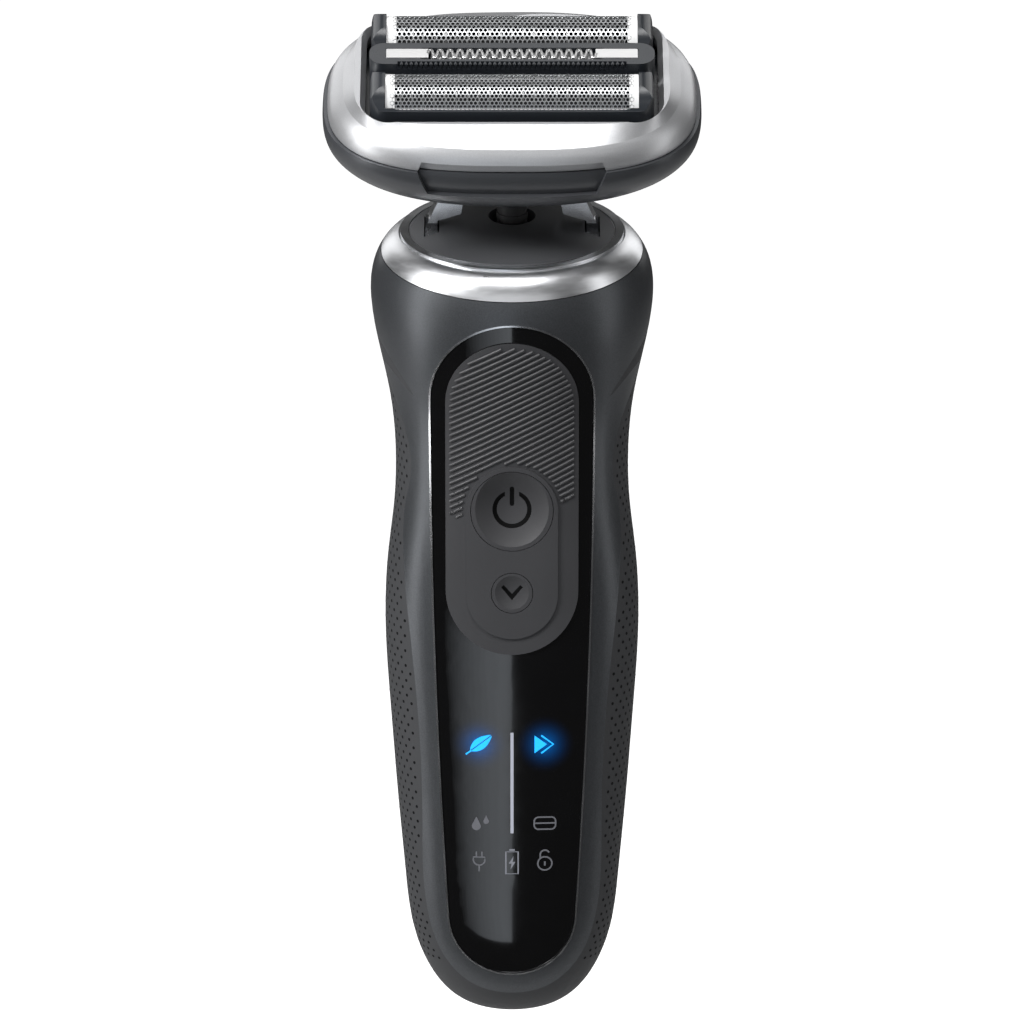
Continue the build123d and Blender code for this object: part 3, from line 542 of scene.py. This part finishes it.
def wave_tree():
    """A flat bar that winds between the front and back edges of the blade."""
    tree = Growth("blade_wave", Waves=WAVES, Half=WAVE_HALF, Depth=BLADE_HALF_DEPTH - STRIP_WIDTH / 2)
    ends = {}
    for name, sign in (("Start", -1), ("End", 1)):
        ends[name] = tree.add("ShaderNodeCombineXYZ", None, {"X": tree["Half"] * sign})
    line = tree.add("GeometryNodeCurvePrimitiveLine", None, ends)
    line = tree.add("GeometryNodeResampleCurve", None, {"Curve": line, "Count": WAVES * POINTS_PER_WAVE + 1})
    x, _, _ = tree.split(tree.add("GeometryNodeInputPosition"))
    phase = (x + tree["Half"]) * tree["Waves"] * pi / tree["Half"]
    wave = tree.add("ShaderNodeMath", {"operation": "SINE"}, {0: phase})
    steep = tree.add("ShaderNodeClamp", None, {"Value": wave * WAVE_FLATNESS, "Min": -1.0, "Max": 1.0})
    offset = tree.add("ShaderNodeCombineXYZ", None, {"Y": steep * tree["Depth"]})
    line = tree.add("GeometryNodeSetPosition", None, {"Geometry": line, "Offset": offset})
    bar = tree.add(
        "GeometryNodeCurvePrimitiveQuadrilateral", None, {"Width": STRIP_WIDTH, "Height": STRIP_HEIGHT}
    )
    body = tree.add("GeometryNodeCurveToMesh", None, {"Curve": line, "Profile Curve": bar, "Fill Caps": True})
    tree.finish(body, blade_steel.material)
    return tree


def add_block(form, low, high, bevel=0.0):
    """Adds a block between two corners, with a small bevel."""
    made = bmesh.ops.create_cube(form, size=1)["verts"]
    size = [b - a for a, b in zip(low, high)]
    middle = [(a + b) / 2 for a, b in zip(low, high)]
    bmesh.ops.scale(form, verts=made, vec=size)
    bmesh.ops.translate(form, verts=made, vec=middle)
    if bevel:
        edges = list({edge for corner in made for edge in corner.link_edges})
        bmesh.ops.bevel(form, geom=edges, offset=bevel, segments=2, affect="EDGES")


blade = wave_tree().grow("trimmer_wave", bpy.data.meshes.new("seed"))
form = bmesh.new()
form.from_mesh(blade.data)
plate_end = reach("trimmer_blade", HEAD_ACROSS)[1]
for side in (-1, 1):
    ends = sorted((side * (WAVE_HALF - 0.1 * MM), side * plate_end))
    corner = (ends[0], -BLADE_HALF_DEPTH, -STRIP_HEIGHT / 2)
    add_block(form, corner, (ends[1], BLADE_HALF_DEPTH, STRIP_HEIGHT / 2), 0.06 * MM)
form.to_mesh(blade.data)
form.free()
blade.data.transform(blade_place)
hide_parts("trimmer_blade")
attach(blade, "trimmer")
print("blade triangles:", triangles(blade))

# %% [markdown]
# The comb beside the blade guides the hairs. It is a row of small rounded teeth at an even step,
# which is one tooth instanced along a line of points.

# %% Comb teeth
TOOTH_STEP = 0.78 * MM
TOOTH_WIDTH = 0.5 * MM
TOOTH_DEPTH = 1.3 * MM
TOOTH_HEIGHT = 1.5 * MM
COMB_HALF = 18.1 * MM
comb_front = reach("trimmer_frame", HEAD_BACK)[0]
comb_top = reach("trimmer_frame", HEAD_UP)[1]


def tooth_mesh(width, depth, height):
    """One tooth, rounded over, standing on the origin."""
    form = bmesh.new()
    add_block(form, (-width / 2, -depth / 2, 0), (width / 2, depth / 2, height), width * 0.3)
    mesh = bpy.data.meshes.new("tooth")
    form.to_mesh(mesh)
    form.free()
    return mesh


def row_tree(name, count, step, material):
    """Copies of the start mesh, step apart, centred on the origin along X."""
    tree = Growth(name, Count=count, Step=step)
    start = tree.add("ShaderNodeCombineXYZ", None, {"X": (tree["Count"] - 1) * tree["Step"] * -0.5})
    step_vector = tree.add("ShaderNodeCombineXYZ", None, {"X": tree["Step"]})
    line = {"Count": tree["Count"], "Start Location": start, "Offset": step_vector}
    points = tree.add("GeometryNodeMeshLine", None, line)
    copies = tree.add("GeometryNodeInstanceOnPoints", None, {"Points": points, "Instance": tree["Geometry"]})
    tree.finish(copies, material)
    return tree


teeth = row_tree("comb_row", int(2 * COMB_HALF / TOOTH_STEP), TOOTH_STEP, unit_plastic.material)
comb = teeth.grow(
    "trimmer_comb",
    tooth_mesh(TOOTH_WIDTH, TOOTH_DEPTH, TOOTH_HEIGHT),
    head_place(comb_front + 0.6 * MM, comb_top - TOOTH_HEIGHT - 0.05 * MM),
)
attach(comb, "trimmer")
print("comb triangles:", triangles(comb))

# %% [markdown]
# Pieces that lie on the handle follow its curved skin. A ray from in front finds the skin at any
# place across and up the handle, so a flat drawing can be laid on it.

# %% Laying drawings on the skin


def skin_of(*nodes):
    """A tree of faces of CAD nodes, for finding their front surface."""
    corners, faces = [], []
    for node in nodes:
        mesh = frame["nodes"][node].data
        first = len(corners)
        corners += [corner.co.copy() for corner in mesh.vertices]
        faces += [[first + index for index in face.vertices] for face in mesh.polygons]
    return BVHTree.FromPolygons(corners, faces)


def front_of(skin, x, z):
    """The front surface's y at a place, or None beside it."""
    hit = skin.ray_cast(Vector((x, -0.1, z)), Vector((0, 1, 0)))[0]
    return hit.y if hit else None


pad_skin = skin_of("control_pad")
panel_skin = skin_of("display_panel")
pad_low, pad_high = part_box("control_pad")
print("pad from", round(pad_low.z / MM, 1), "to", round(pad_high.z / MM, 1), "mm")

# %% [markdown]
# The upper half of the control pad has slanting ribs for the thumb. Each rib starts and ends a
# little inside the pad's rounded outline and stops short of the raised tongue round the keys, so
# its ends are worked out from those outlines. A half-round bar swept along each line is the rib.

# %% Ribs on the control pad
RIB_STEP = 1.0 * MM
RIB_SLOPE = radians(27)
RIB_HALF_WIDTH = 0.27 * MM
RIB_INSET = 0.75 * MM
RIB_POINTS = 22
RIB_TRACE = 0.15 * MM
SHORTEST_RUN = 6
pad_half = pad_high.x
pad_top_centre = pad_high.z - pad_half
key_low, key_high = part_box("power_button")
key_centre = (key_low.z + key_high.z) / 2
TONGUE_HALF = 7.4 * MM
TONGUE_GAP = 0.5 * MM
FIELD_DROP = 1.2 * MM


def on_ribbed_field(x, z):
    """True inside the pad's outline, outside the tongue, and above the middle of the key."""
    limit = pad_half - RIB_INSET
    above = max(0.0, z - pad_top_centre)
    inside = abs(x) < limit and x * x + above * above < limit * limit
    reach_up = max(0.0, z - key_centre)
    clear = x * x + reach_up * reach_up > (TONGUE_HALF + TONGUE_GAP) ** 2
    return inside and clear and z > key_centre - FIELD_DROP


def rib_lines():
    """The middle lines of all ribs, laid on the pad, as a mesh of edges."""
    form = bmesh.new()
    steps = int(2 * pad_half / RIB_TRACE)
    count = int((pad_high.z - key_centre) / RIB_STEP) + 14
    for i in range(count):
        start = key_centre - 8 * MM + i * RIB_STEP
        run = []
        for j in range(steps + 1):
            x = -pad_half + 2 * pad_half * j / steps
            z = start + (x + pad_half) * sin(RIB_SLOPE) / cos(RIB_SLOPE)
            if on_ribbed_field(x, z):
                run.append((x, z))
            elif run:
                add_rib(form, run)
                run = []
        if run:
            add_rib(form, run)
    mesh = bpy.data.meshes.new("rib_lines")
    form.to_mesh(mesh)
    form.free()
    return mesh


def add_rib(form, run):
    """One rib's line, if it is long enough to be worth a rib."""
    if len(run) < SHORTEST_RUN:
        return
    previous = None
    for k in range(RIB_POINTS + 1):
        x, z = run[round(k * (len(run) - 1) / RIB_POINTS)]
        corner = form.verts.new((x, front_of(pad_skin, x, z), z))
        if previous:
            form.edges.new((previous, corner))
        previous = corner


def rib_tree():
    """A round bar swept along every line of the start mesh."""
    tree = Growth("pad_ribs", Half_width=RIB_HALF_WIDTH)
    line = tree.add("GeometryNodeMeshToCurve", None, {"Mesh": tree["Geometry"]})
    size = {"Resolution": 8, "Radius": tree["Half_width"]}
    bar = tree.add("GeometryNodeCurvePrimitiveCircle", None, size, output="Curve")
    body = tree.add("GeometryNodeCurveToMesh", None, {"Curve": line, "Profile Curve": bar, "Fill Caps": True})
    body = tree.add("GeometryNodeSetShadeSmooth", None, {"Geometry": body})
    tree.finish(body, rib_rubber.material)
    return tree


ribs = rib_tree().grow("pad_ribs", rib_lines())
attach(ribs, "handle")
print("rib triangles:", triangles(ribs))

# %% [markdown]
# The rubber grip is dotted with small dimples in staggered rows. There are thousands, so each is
# only a flat eight-sided disc a hair above the grip, and its near-black colour is painted shade for
# the hollow. The tree starts from points on a wide tube round the handle, sends a ray inwards from
# each, and keeps the points whose ray meets the grip.

# %% Dimples on the rubber grip
DIMPLE_STEP = 1.55 * MM
DIMPLE_RADIUS = 0.27 * MM
DIMPLE_LOW = 11 * MM
DIMPLE_HIGH = 108 * MM
GRIP_RADIUS = 17.5 * MM
TUBE_RADIUS = 40 * MM
ROW_STEP = 0.8 * DIMPLE_STEP
DISH_SIDES = 8


def dimple_tree():
    """Points on a tube, sent inwards to the grip, and the flat disc of painted shade that goes on each of
    them.
    """
    around = int(2 * pi * GRIP_RADIUS / DIMPLE_STEP)
    rows = int((DIMPLE_HIGH - DIMPLE_LOW) / ROW_STEP)
    band = {"Low": DIMPLE_LOW, "High": DIMPLE_HIGH}
    tree = Growth("grip_dimples", Around=around, Rows=rows, Radius=DIMPLE_RADIUS, **band)
    sizes = {"Size X": 1.0, "Size Y": 1.0, "Vertices X": tree["Around"], "Vertices Y": tree["Rows"]}
    grid = tree.add("GeometryNodeMeshGrid", None, sizes, output="Mesh")
    x, y, _ = tree.split(tree.add("GeometryNodeInputPosition"))
    row = tree.add("ShaderNodeMath", {"operation": "ROUND"}, {0: (y + 0.5) * (tree["Rows"] - 1)})
    odd = tree.add("ShaderNodeMath", {"operation": "MODULO"}, {0: row, 1: 2.0})
    angle = (x + 0.5 + odd * 0.5 / tree["Around"]) * (2 * pi)
    sine = tree.add("ShaderNodeMath", {"operation": "SINE"}, {0: angle})
    cosine = tree.add("ShaderNodeMath", {"operation": "COSINE"}, {0: angle})
    height = (y + 0.5) * (tree["High"] - tree["Low"]) + tree["Low"]
    around = {"X": sine * TUBE_RADIUS, "Y": cosine * TUBE_RADIUS, "Z": height}
    tube = tree.add("ShaderNodeCombineXYZ", None, around)
    inward = tree.add("ShaderNodeCombineXYZ", None, {"X": sine * -1.0, "Y": cosine * -1.0, "Z": 0.0})
    ray = {"Source Position": tube, "Ray Direction": inward, "Ray Length": 1.0}
    ray["Target Geometry"] = tree["Geometry"]
    hit = tree.add("GeometryNodeRaycast", None, ray).socket.node.outputs
    for name, kind, socket in (("outward", "FLOAT_VECTOR", "Hit Normal"), ("met", "BOOLEAN", "Is Hit")):
        note = {"Geometry": grid, "Name": name, "Value": Out(tree, hit[socket])}
        grid = tree.add("GeometryNodeStoreNamedAttribute", {"data_type": kind, "domain": "POINT"}, note)
    spots = {"Mesh": grid, "Position": Out(tree, hit["Hit Position"])}
    points = tree.add("GeometryNodeMeshToPoints", None, spots)
    outward = tree.add("GeometryNodeInputNamedAttribute", {"data_type": "FLOAT_VECTOR"}, {"Name": "outward"})
    met = tree.add("GeometryNodeInputNamedAttribute", {"data_type": "BOOLEAN"}, {"Name": "met"})
    turn = tree.add("FunctionNodeAlignRotationToVector", {"axis": "Z"}, {"Vector": outward})
    disc = {"Vertices": DISH_SIDES, "Radius": tree["Radius"]}
    dish = tree.add("GeometryNodeMeshCircle", {"fill_type": "TRIANGLE_FAN"}, disc)
    dish = tree.add("GeometryNodeTransform", None, {"Geometry": dish, "Translation": (0, 0, 0.02 * MM)})
    return tree, points, turn, dish, met


def grow_dimples():
    """Runs the tree on a copy of the grip, which is what its rays are aimed at."""
    tree, points, turn, dish, hit = dimple_tree()
    copies = {"Points": points, "Selection": hit, "Instance": dish, "Rotation": turn}
    tree.finish(tree.add("GeometryNodeInstanceOnPoints", None, copies), dimple_rubber.material)
    grip = frame["nodes"]["rubber_grip"].data.copy()
    return tree.grow("grip_dimples", grip)


dimples = grow_dimples()
print("dimple triangles:", triangles(dimples))

# %% [markdown]
# A ray from the side can pass over the grip's edge and meet its inner face. Such dimples are
# taken out: a dimple stays only if the grip is the first thing a ray from outside would meet.

# %% Keep only dimples on the outside of the grip
outside_skin = skin_of("rubber_grip", "front_shell", "panel_trim", "collar_ring")
EDGE_MARGIN = 0.75 * MM
GRIP_FACES = len(frame["nodes"]["rubber_grip"].data.polygons)


def covered(point, outward):
    """True where something lies over the point, or the grip ends close to it."""
    for sideways in (Vector((0, 0, 1)), outward.cross(Vector((0, 0, 1))).normalized()):
        for sign in (-1, 1):
            start = point + outward * 2 * MM + sideways * sign * EDGE_MARGIN
            spot, normal, face, _ = outside_skin.ray_cast(start, -outward)
            if spot is None or face >= GRIP_FACES:
                return True
            if (spot - point).dot(outward) < -0.5 * MM:
                return True
    return False


form = bmesh.new()
form.from_mesh(dimples.data)
doomed = []
for corner in form.verts:
    if len(corner.link_faces) == DISH_SIDES:
        outward = corner.normal.copy()
        if covered(corner.co, outward):
            doomed += [near for face in corner.link_faces for near in face.verts]
bmesh.ops.delete(form, geom=list(set(doomed)), context="VERTS")
form.to_mesh(dimples.data)
form.free()
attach(dimples, "handle")
print("dimples kept, triangles:", triangles(dimples))

# %% [markdown]
# The panel shows signs when the shaver is on: two lit blue modes, a bar between them, and dim
# reminders for cleaning, charging and the travel lock. They are flat drawings, so outlines are
# filled with triangles and laid a hair above the glass.

# %% Finishes of the signs


def lit(name, colour, strength):
    """A sign that glows evenly, with the faint grain of a printed diffuser."""
    finish = Finish(name, colour, 0.4, Emission_Strength=strength)
    grain = finish.noise(finish.place(), 2500)
    finish.two_tone(grain, 0.9, 1.1)
    ends = [(*[channel * shade for channel in colour], 1) for shade in (0.92, 1.08)]
    mix = {"Factor": grain, 6: ends[0], 7: ends[1]}
    finish.feed("Emission Color", finish.add("ShaderNodeMix", {"data_type": "RGBA"}, mix, output=2))
    return finish


sign_blue = lit("sign_blue", (0.012, 0.36, 0.88), 1.0)
sign_pale = lit("sign_pale", (0.3, 0.31, 0.36), 0.6)
# The next two finishes are for signs that are off, so their faint glow is painted light.
sign_dim = lit("sign_dim", (0.11, 0.112, 0.125), 0.35)
sign_grey = lit("sign_grey", (0.17, 0.175, 0.2), 0.45)
print("materials:", len(bpy.data.materials))

# %% [markdown]
# A sign is drawn in millimetres, across and up the panel, and each of its corners is then laid on
# the glass. Discs, strokes of constant width and filled outlines are all that the signs need.

# %% Drawing tools
SIGN_LIFT = 0.07 * MM


def disc(x, z, radius, steps=28, start=0.0, end=2 * pi):
    """Points of a circle or an arc."""
    turns = [start + (end - start) * i / steps for i in range(steps)]
    return [(x + radius * cos(turn), z + radius * sin(turn)) for turn in turns]


def stroke(points, width, closed=False):
    """The outline of a line of constant width through points."""
    count = len(points)
    left, right = [], []
    for i, (x, z) in enumerate(points):
        before = points[i - 1] if (i or closed) else points[i]
        after = points[(i + 1) % count] if (i < count - 1 or closed) else points[i]
        run = Vector((after[0] - before[0], after[1] - before[1])).normalized()
        side = Vector((-run.y, run.x)) * width / 2
        left.append((x + side.x, z + side.y))
        right.append((x - side.x, z - side.y))
    return left, right


def laid(form, points):
    """Corners on the glass for points in millimetres."""
    corners = []
    for x, z in points:
        y = front_of(panel_skin, x * MM, z * MM)
        corners.append(form.verts.new((x * MM, y - SIGN_LIFT, z * MM)))
    return corners


def fill(form, points):
    """A filled outline, cut into triangles."""
    corners = laid(form, points)
    edges = [form.edges.new((corners[i - 1], corners[i])) for i in range(len(corners))]
    bmesh.ops.triangle_fill(form, use_beauty=True, edges=edges)


def line(form, points, width, closed=False):
    """A drawn line of constant width."""
    left, right = stroke(points, width, closed)
    left, right = laid(form, left), laid(form, right)
    count = len(points)
    for i in range(count if closed else count - 1):
        j = (i + 1) % count
        form.faces.new((left[i], left[j], right[j], right[i]))


def sign(name, finish, slot, draw):
    """Draws one sign and puts it on the handle."""
    form = bmesh.new()
    draw(form)
    for face in form.faces:
        face.normal_update()
        if face.normal.y > 0:
            face.normal_flip()
    mesh = bpy.data.meshes.new(name)
    form.to_mesh(mesh)
    form.free()
    mesh.materials.append(finish.material)
    piece = as_piece(name, mesh)
    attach(piece, "handle")
    return piece


print("drawing tools ready")

# %% [markdown]
# The two lit signs are the shaving modes: a leaf for a gentle shave and a double arrow for a fast
# one. The bar between them is drawn in short lengths, because one long flat strip would sink into
# the curved glass.

# %% The lit signs
MODE_ROW = 49.2
MODE_X = 5.3
BAR_LOW = 34.0
BAR_HIGH = 51.2
BAR_PIECES = 24


def draw_leaf(form):
    """A slanting leaf with a stalk, cut by its middle vein."""
    length, fat, slant = 4.3, 1.35, radians(38)
    for side in (-1, 1):
        edge = []
        for i in range(17):
            along = i / 16
            edge.append((along, side * (0.12 + fat * (sin(pi * along) ** 0.8) * (1 - 0.35 * along))))
        spine = [(1 - i / 16, side * 0.1) for i in range(1, 16)]
        points = []
        for along, across in edge + spine:
            u, v = (along - 0.42) * length, across
            x = -MODE_X + u * cos(slant) - v * sin(slant) * 0.8
            z = MODE_ROW + u * sin(slant) + v * cos(slant) * 0.8
            points.append((x, z))
        fill(form, points)
    stalk = [(-MODE_X - 2.2 + 0.1 * i, MODE_ROW - 1.75 + 0.075 * i) for i in range(10)]
    line(form, stalk, 0.24)


def draw_fast(form):
    """A triangle and an open chevron, both pointing right."""
    tall, tip = 1.5, MODE_X + 0.35
    fill(form, [(tip - 2.0, MODE_ROW - tall), (tip, MODE_ROW), (tip - 2.0, MODE_ROW + tall)])
    line(form, [(tip - 0.9, MODE_ROW - tall), (tip + 1.05, MODE_ROW), (tip - 0.9, MODE_ROW + tall)], 0.28)


def draw_bar(form):
    """The upright bar between the modes, in short lengths that follow the glass."""
    step = (BAR_HIGH - BAR_LOW) / BAR_PIECES
    line(form, [(0, BAR_LOW + step * i) for i in range(BAR_PIECES + 1)], 0.5)


sign("sign_leaf", sign_blue, "light_white", draw_leaf)
sign("sign_fast", sign_blue, "light_white", draw_fast)
sign("sign_bar", sign_pale, "light_white", draw_bar)

# %% [markdown]
# The other five signs are off and only just show: drops and a head outline for cleaning, and a
# plug, a battery and a travel lock in the row below. The faint glow that makes them show is painted
# light, since they are off.

# %% The dim signs
UPPER_ROW = 35.7
LOWER_ROW = 29.1
SIDE_X = 5.35


def drop(x, z, radius):
    """A drop: a circle drawn up to a point."""
    arc = disc(x, z, radius, 20, -pi * 1.2, pi * 0.2)
    return arc + [(x, z + radius * 2.3)]


def draw_drops(form):
    fill(form, drop(-SIDE_X - 0.45, UPPER_ROW - 0.5, 0.72))
    fill(form, drop(-SIDE_X + 1.15, UPPER_ROW + 0.35, 0.45))


def draw_foil_sign(form):
    """A rounded outline with a line across, for the shaving head."""
    half, tall, corner = 1.75, 1.05, 0.75
    outline = []
    for x, z, turn in ((half, tall, 0), (-half, tall, 1), (-half, -tall, 2), (half, -tall, 3)):
        cx = SIDE_X + x - corner * (1 if x > 0 else -1)
        cz = UPPER_ROW + z - corner * (1 if z > 0 else -1)
        outline += disc(cx, cz, corner, 6, turn * pi / 2, (turn + 1) * pi / 2)
    line(form, outline, 0.26, closed=True)
    line(form, [(SIDE_X - half, UPPER_ROW), (SIDE_X + half, UPPER_ROW)], 0.26)


def draw_plug(form):
    """A plug with two prongs and a lead."""
    x, z = -SIDE_X, LOWER_ROW
    cup = [(x - 0.95, z + 0.75)] + disc(x, z + 0.3, 0.95, 14, pi, 2 * pi) + [(x + 0.95, z + 0.75)]
    line(form, cup, 0.24, closed=True)
    for side in (-0.45, 0.45):
        line(form, [(x + side, z + 0.75), (x + side, z + 1.7)], 0.24)
    line(form, [(x, z - 0.7), (x, z - 1.7)], 0.24)


def draw_battery(form):
    """An upright battery with a bolt in it."""
    half, low, high = 1.0, LOWER_ROW - 2.1, LOWER_ROW + 1.7
    line(form, [(-half, low), (half, low), (half, high), (-half, high)], 0.26, closed=True)
    line(form, [(-0.45, high + 0.32), (0.45, high + 0.32)], 0.34)
    z = LOWER_ROW - 0.2
    bolt = [(0.25, 1.15), (-0.55, -0.15), (-0.08, -0.15), (-0.25, -1.15), (0.55, 0.15), (0.08, 0.15)]
    fill(form, [(x, z + rise) for x, rise in bolt])


def draw_lock(form):
    """A round travel lock with an open shackle."""
    x, z = SIDE_X, LOWER_ROW - 0.35
    line(form, disc(x, z, 1.15, 28), 0.26, closed=True)
    line(form, [(x, z + 0.35), (x, z - 0.4)], 0.3)
    shackle = [(x - 0.75, z + 1.0)] + disc(x, z + 1.55, 0.75, 12, pi, 0.2)
    line(form, shackle, 0.26)


# These five signs are off, and their faint glow is painted light.
sign("sign_drops", sign_dim, "light_white", draw_drops)
sign("sign_foil", sign_dim, "light_white", draw_foil_sign)
sign("sign_plug", sign_dim, "light_white", draw_plug)
sign("sign_battery", sign_grey, "light_white", draw_battery)
sign("sign_lock", sign_dim, "light_white", draw_lock)
print("signs drawn")

# %% [markdown]
# Blue light spreads a little inside the smoked glass. A soft round patch over each lit sign
# shows this: its glow and its cover fade from the middle to nothing, by the distance from the
# patch's own centre.

# %% Glow round the lit signs
GLOW_RADIUS = 5.4
GLOW_RINGS = 6
GLOW_SIDES = 32
GLOW_COVER = 0.7


def glow(name, x):
    """A round patch just under a sign, lit in its middle and clear at its rim."""
    middle = (x * MM, front_of(panel_skin, x * MM, MODE_ROW * MM), MODE_ROW * MM)
    finish = Finish(name, (0.0, 0.004, 0.02), 0.1, Emission_Strength=1.0)
    finish.feed("Emission Color", (0.002, 0.16, 0.62, 1))
    place = finish.place(centre=middle)
    length = finish.add("ShaderNodeVectorMath", {"operation": "LENGTH"}, {0: place}, output="Value")
    near = finish.add("ShaderNodeClamp", None, {"Value": 1 - length / (GLOW_RADIUS * MM)})
    finish.feed("Alpha", near * near * near * GLOW_COVER)

    def draw(form):
        centre = laid(form, [(x, MODE_ROW)])[0]
        rings = []
        for ring in range(1, GLOW_RINGS + 1):
            radius = GLOW_RADIUS * ring / GLOW_RINGS
            rings.append(laid(form, disc(x, MODE_ROW, radius, GLOW_SIDES)))
        for i in range(GLOW_SIDES):
            form.faces.new((centre, rings[0][i - 1], rings[0][i]))
            for inner, outer in zip(rings, rings[1:]):
                form.faces.new((inner[i - 1], outer[i - 1], outer[i], inner[i]))

    piece = sign(name, finish, "light_white", draw)
    for corner in piece.data.vertices:
        corner.co.y += SIGN_LIFT * 0.6
    return piece


glow("glow_left", -MODE_X)
glow("glow_right", MODE_X)
print("glow patches added")

# %% [markdown]
# The shaver stands free before a plain white floor. The floor's own glow is seen by the camera
# only, so that it adds no light to the dark handle.

# %% Floor
scene = bpy.context.scene
scene.view_settings.view_transform = "Standard"


def floor_finish():
    """White paper. It shines for the camera only, so that it doesn't light the shaver."""
    finish = grained("floor_paper", (0.86, 0.86, 0.86), 0.8, grain=300, tooth=0.05, Emission_Strength=1.0)
    seen = finish.add("ShaderNodeLightPath", output="Is Camera Ray")
    ends = {"Factor": seen, 6: (0, 0, 0, 1), 7: (1, 1, 1, 1)}
    finish.feed("Emission Color", finish.add("ShaderNodeMix", {"data_type": "RGBA"}, ends, output=2))
    return finish.material


form = bmesh.new()
FLOOR_Z = -0.25
for x, y in ((-6, -0.15), (6, -0.15), (6, 12), (-6, 12)):
    form.verts.new((x, y, FLOOR_Z))
form.faces.new(form.verts)
floor_mesh = bpy.data.meshes.new("floor")
form.to_mesh(floor_mesh)
form.free()
floor_mesh.materials.append(floor_finish())
floor = as_piece("floor", floor_mesh)
print("floor at", FLOOR_Z, "m")

# %% [markdown]
# A product camera stands well back with a long lens, so that the handle keeps its proportions.
# It looks down a little. The lens follows from the distance and the height that has to fit.

# %% Camera
VIEW_RISE = radians(15)
VIEW_DISTANCE = 1.2
VIEW_HEIGHT = 84.5 * MM
VIEW_FRAME = 166.6 * MM
SENSOR = 36.0

camera_data = bpy.data.cameras.new("camera")
camera_data.sensor_width = SENSOR
camera_data.lens = SENSOR * VIEW_DISTANCE / VIEW_FRAME
camera_data.clip_start = 0.01
camera = bpy.data.objects.new("camera", camera_data)
scene.collection.objects.link(camera)
aim = Vector((0, 0, VIEW_HEIGHT))
camera.location = aim + Vector((0, -cos(VIEW_RISE), sin(VIEW_RISE))) * VIEW_DISTANCE
camera.rotation_euler = (pi / 2 - VIEW_RISE, 0, 0)
scene.camera = camera
print("lens:", round(camera_data.lens, 1), "mm")

# %% [markdown]
# The shaver is lit like a product in a white studio. A soft light from above and in front falls
# on the silver frame, a smaller key light at the upper left shapes the dished keys and the ribs,
# and tall strips at both sides draw the edges, the right one fainter. Low cards in front are there
# for the glass panel alone: side by side and each fainter than the last, they are mirrored in it
# as a patch that starts sharply on the middle line and fades to the left.

# %% Lights


def soft_light(name, place, target, width, height, power, colour=(1, 1, 1)):
    """A rectangular light at a place, facing a target."""
    data = bpy.data.lights.new(name, "AREA")
    data.shape = "RECTANGLE"
    data.size, data.size_y = width, height
    data.energy = power
    data.color = colour
    light = bpy.data.objects.new(name, data)
    scene.collection.objects.link(light)
    light.location = place
    light.rotation_euler = (Vector(target) - Vector(place)).to_track_quat("-Z", "Y").to_euler()
    return light


middle = (0, 0, 0.09)
soft_light("top_front", (0, -0.42, 0.78), (0, 0, 0.14), 0.34, 0.3, 3.2)
soft_light("top_back", (0, 0.35, 0.95), (0, 0, 0.15), 0.5, 0.3, 1.0)
soft_light("left_strip", (-0.75, -0.3, 0.15), middle, 0.2, 0.9, 2.9)
soft_light("right_strip", (0.75, -0.25, 0.2), middle, 0.2, 0.9, 1.1)
soft_light("front_low", (0, -1.2, 0.34), (0, 0, 0.15), 1.3, 0.3, 1.2)
soft_light("key_left", (-0.55, -0.42, 0.6), (0, 0, 0.08), 0.22, 0.22, 5.5)
soft_light("rear_left", (-0.5, 0.7, 0.5), middle, 0.4, 0.6, 1.1)
soft_light("rear_right", (0.5, 0.7, 0.5), middle, 0.4, 0.6, 1.1)

CARDS = 12
CARD_WIDTH = 0.035
CARD_HEIGHT = 0.64
CARD_POWER = 0.095
CARD_BLUE = (0.87, 0.93, 1.0)
for i in range(CARDS):
    x = -CARD_WIDTH * (i + 0.5)
    power = CARD_POWER * (1 - i / CARDS)
    ends = ((x, -0.8, -0.2), (x, 0, -0.2))
    soft_light("panel_card_%d" % i, *ends, CARD_WIDTH, CARD_HEIGHT, power, CARD_BLUE)
print("lights:", len(bpy.data.lights))

# %% [markdown]
# The camera sees a white background, and everything else gets only a faint even light from it,
# so that dark gloss stays dark.

# %% World
AMBIENT = 0.05

world = bpy.data.worlds.new("studio")
world.use_nodes = True
scene.world = world
backdrop = Nodes(world.node_tree)
shade = world.node_tree.nodes["Background"]
backdrop.put(shade.inputs["Color"], (1, 1, 1, 1))
seen = backdrop.add("ShaderNodeLightPath", output="Is Camera Ray")
backdrop.put(shade.inputs["Strength"], seen * (1 - AMBIENT) + AMBIENT)
print("world ready")
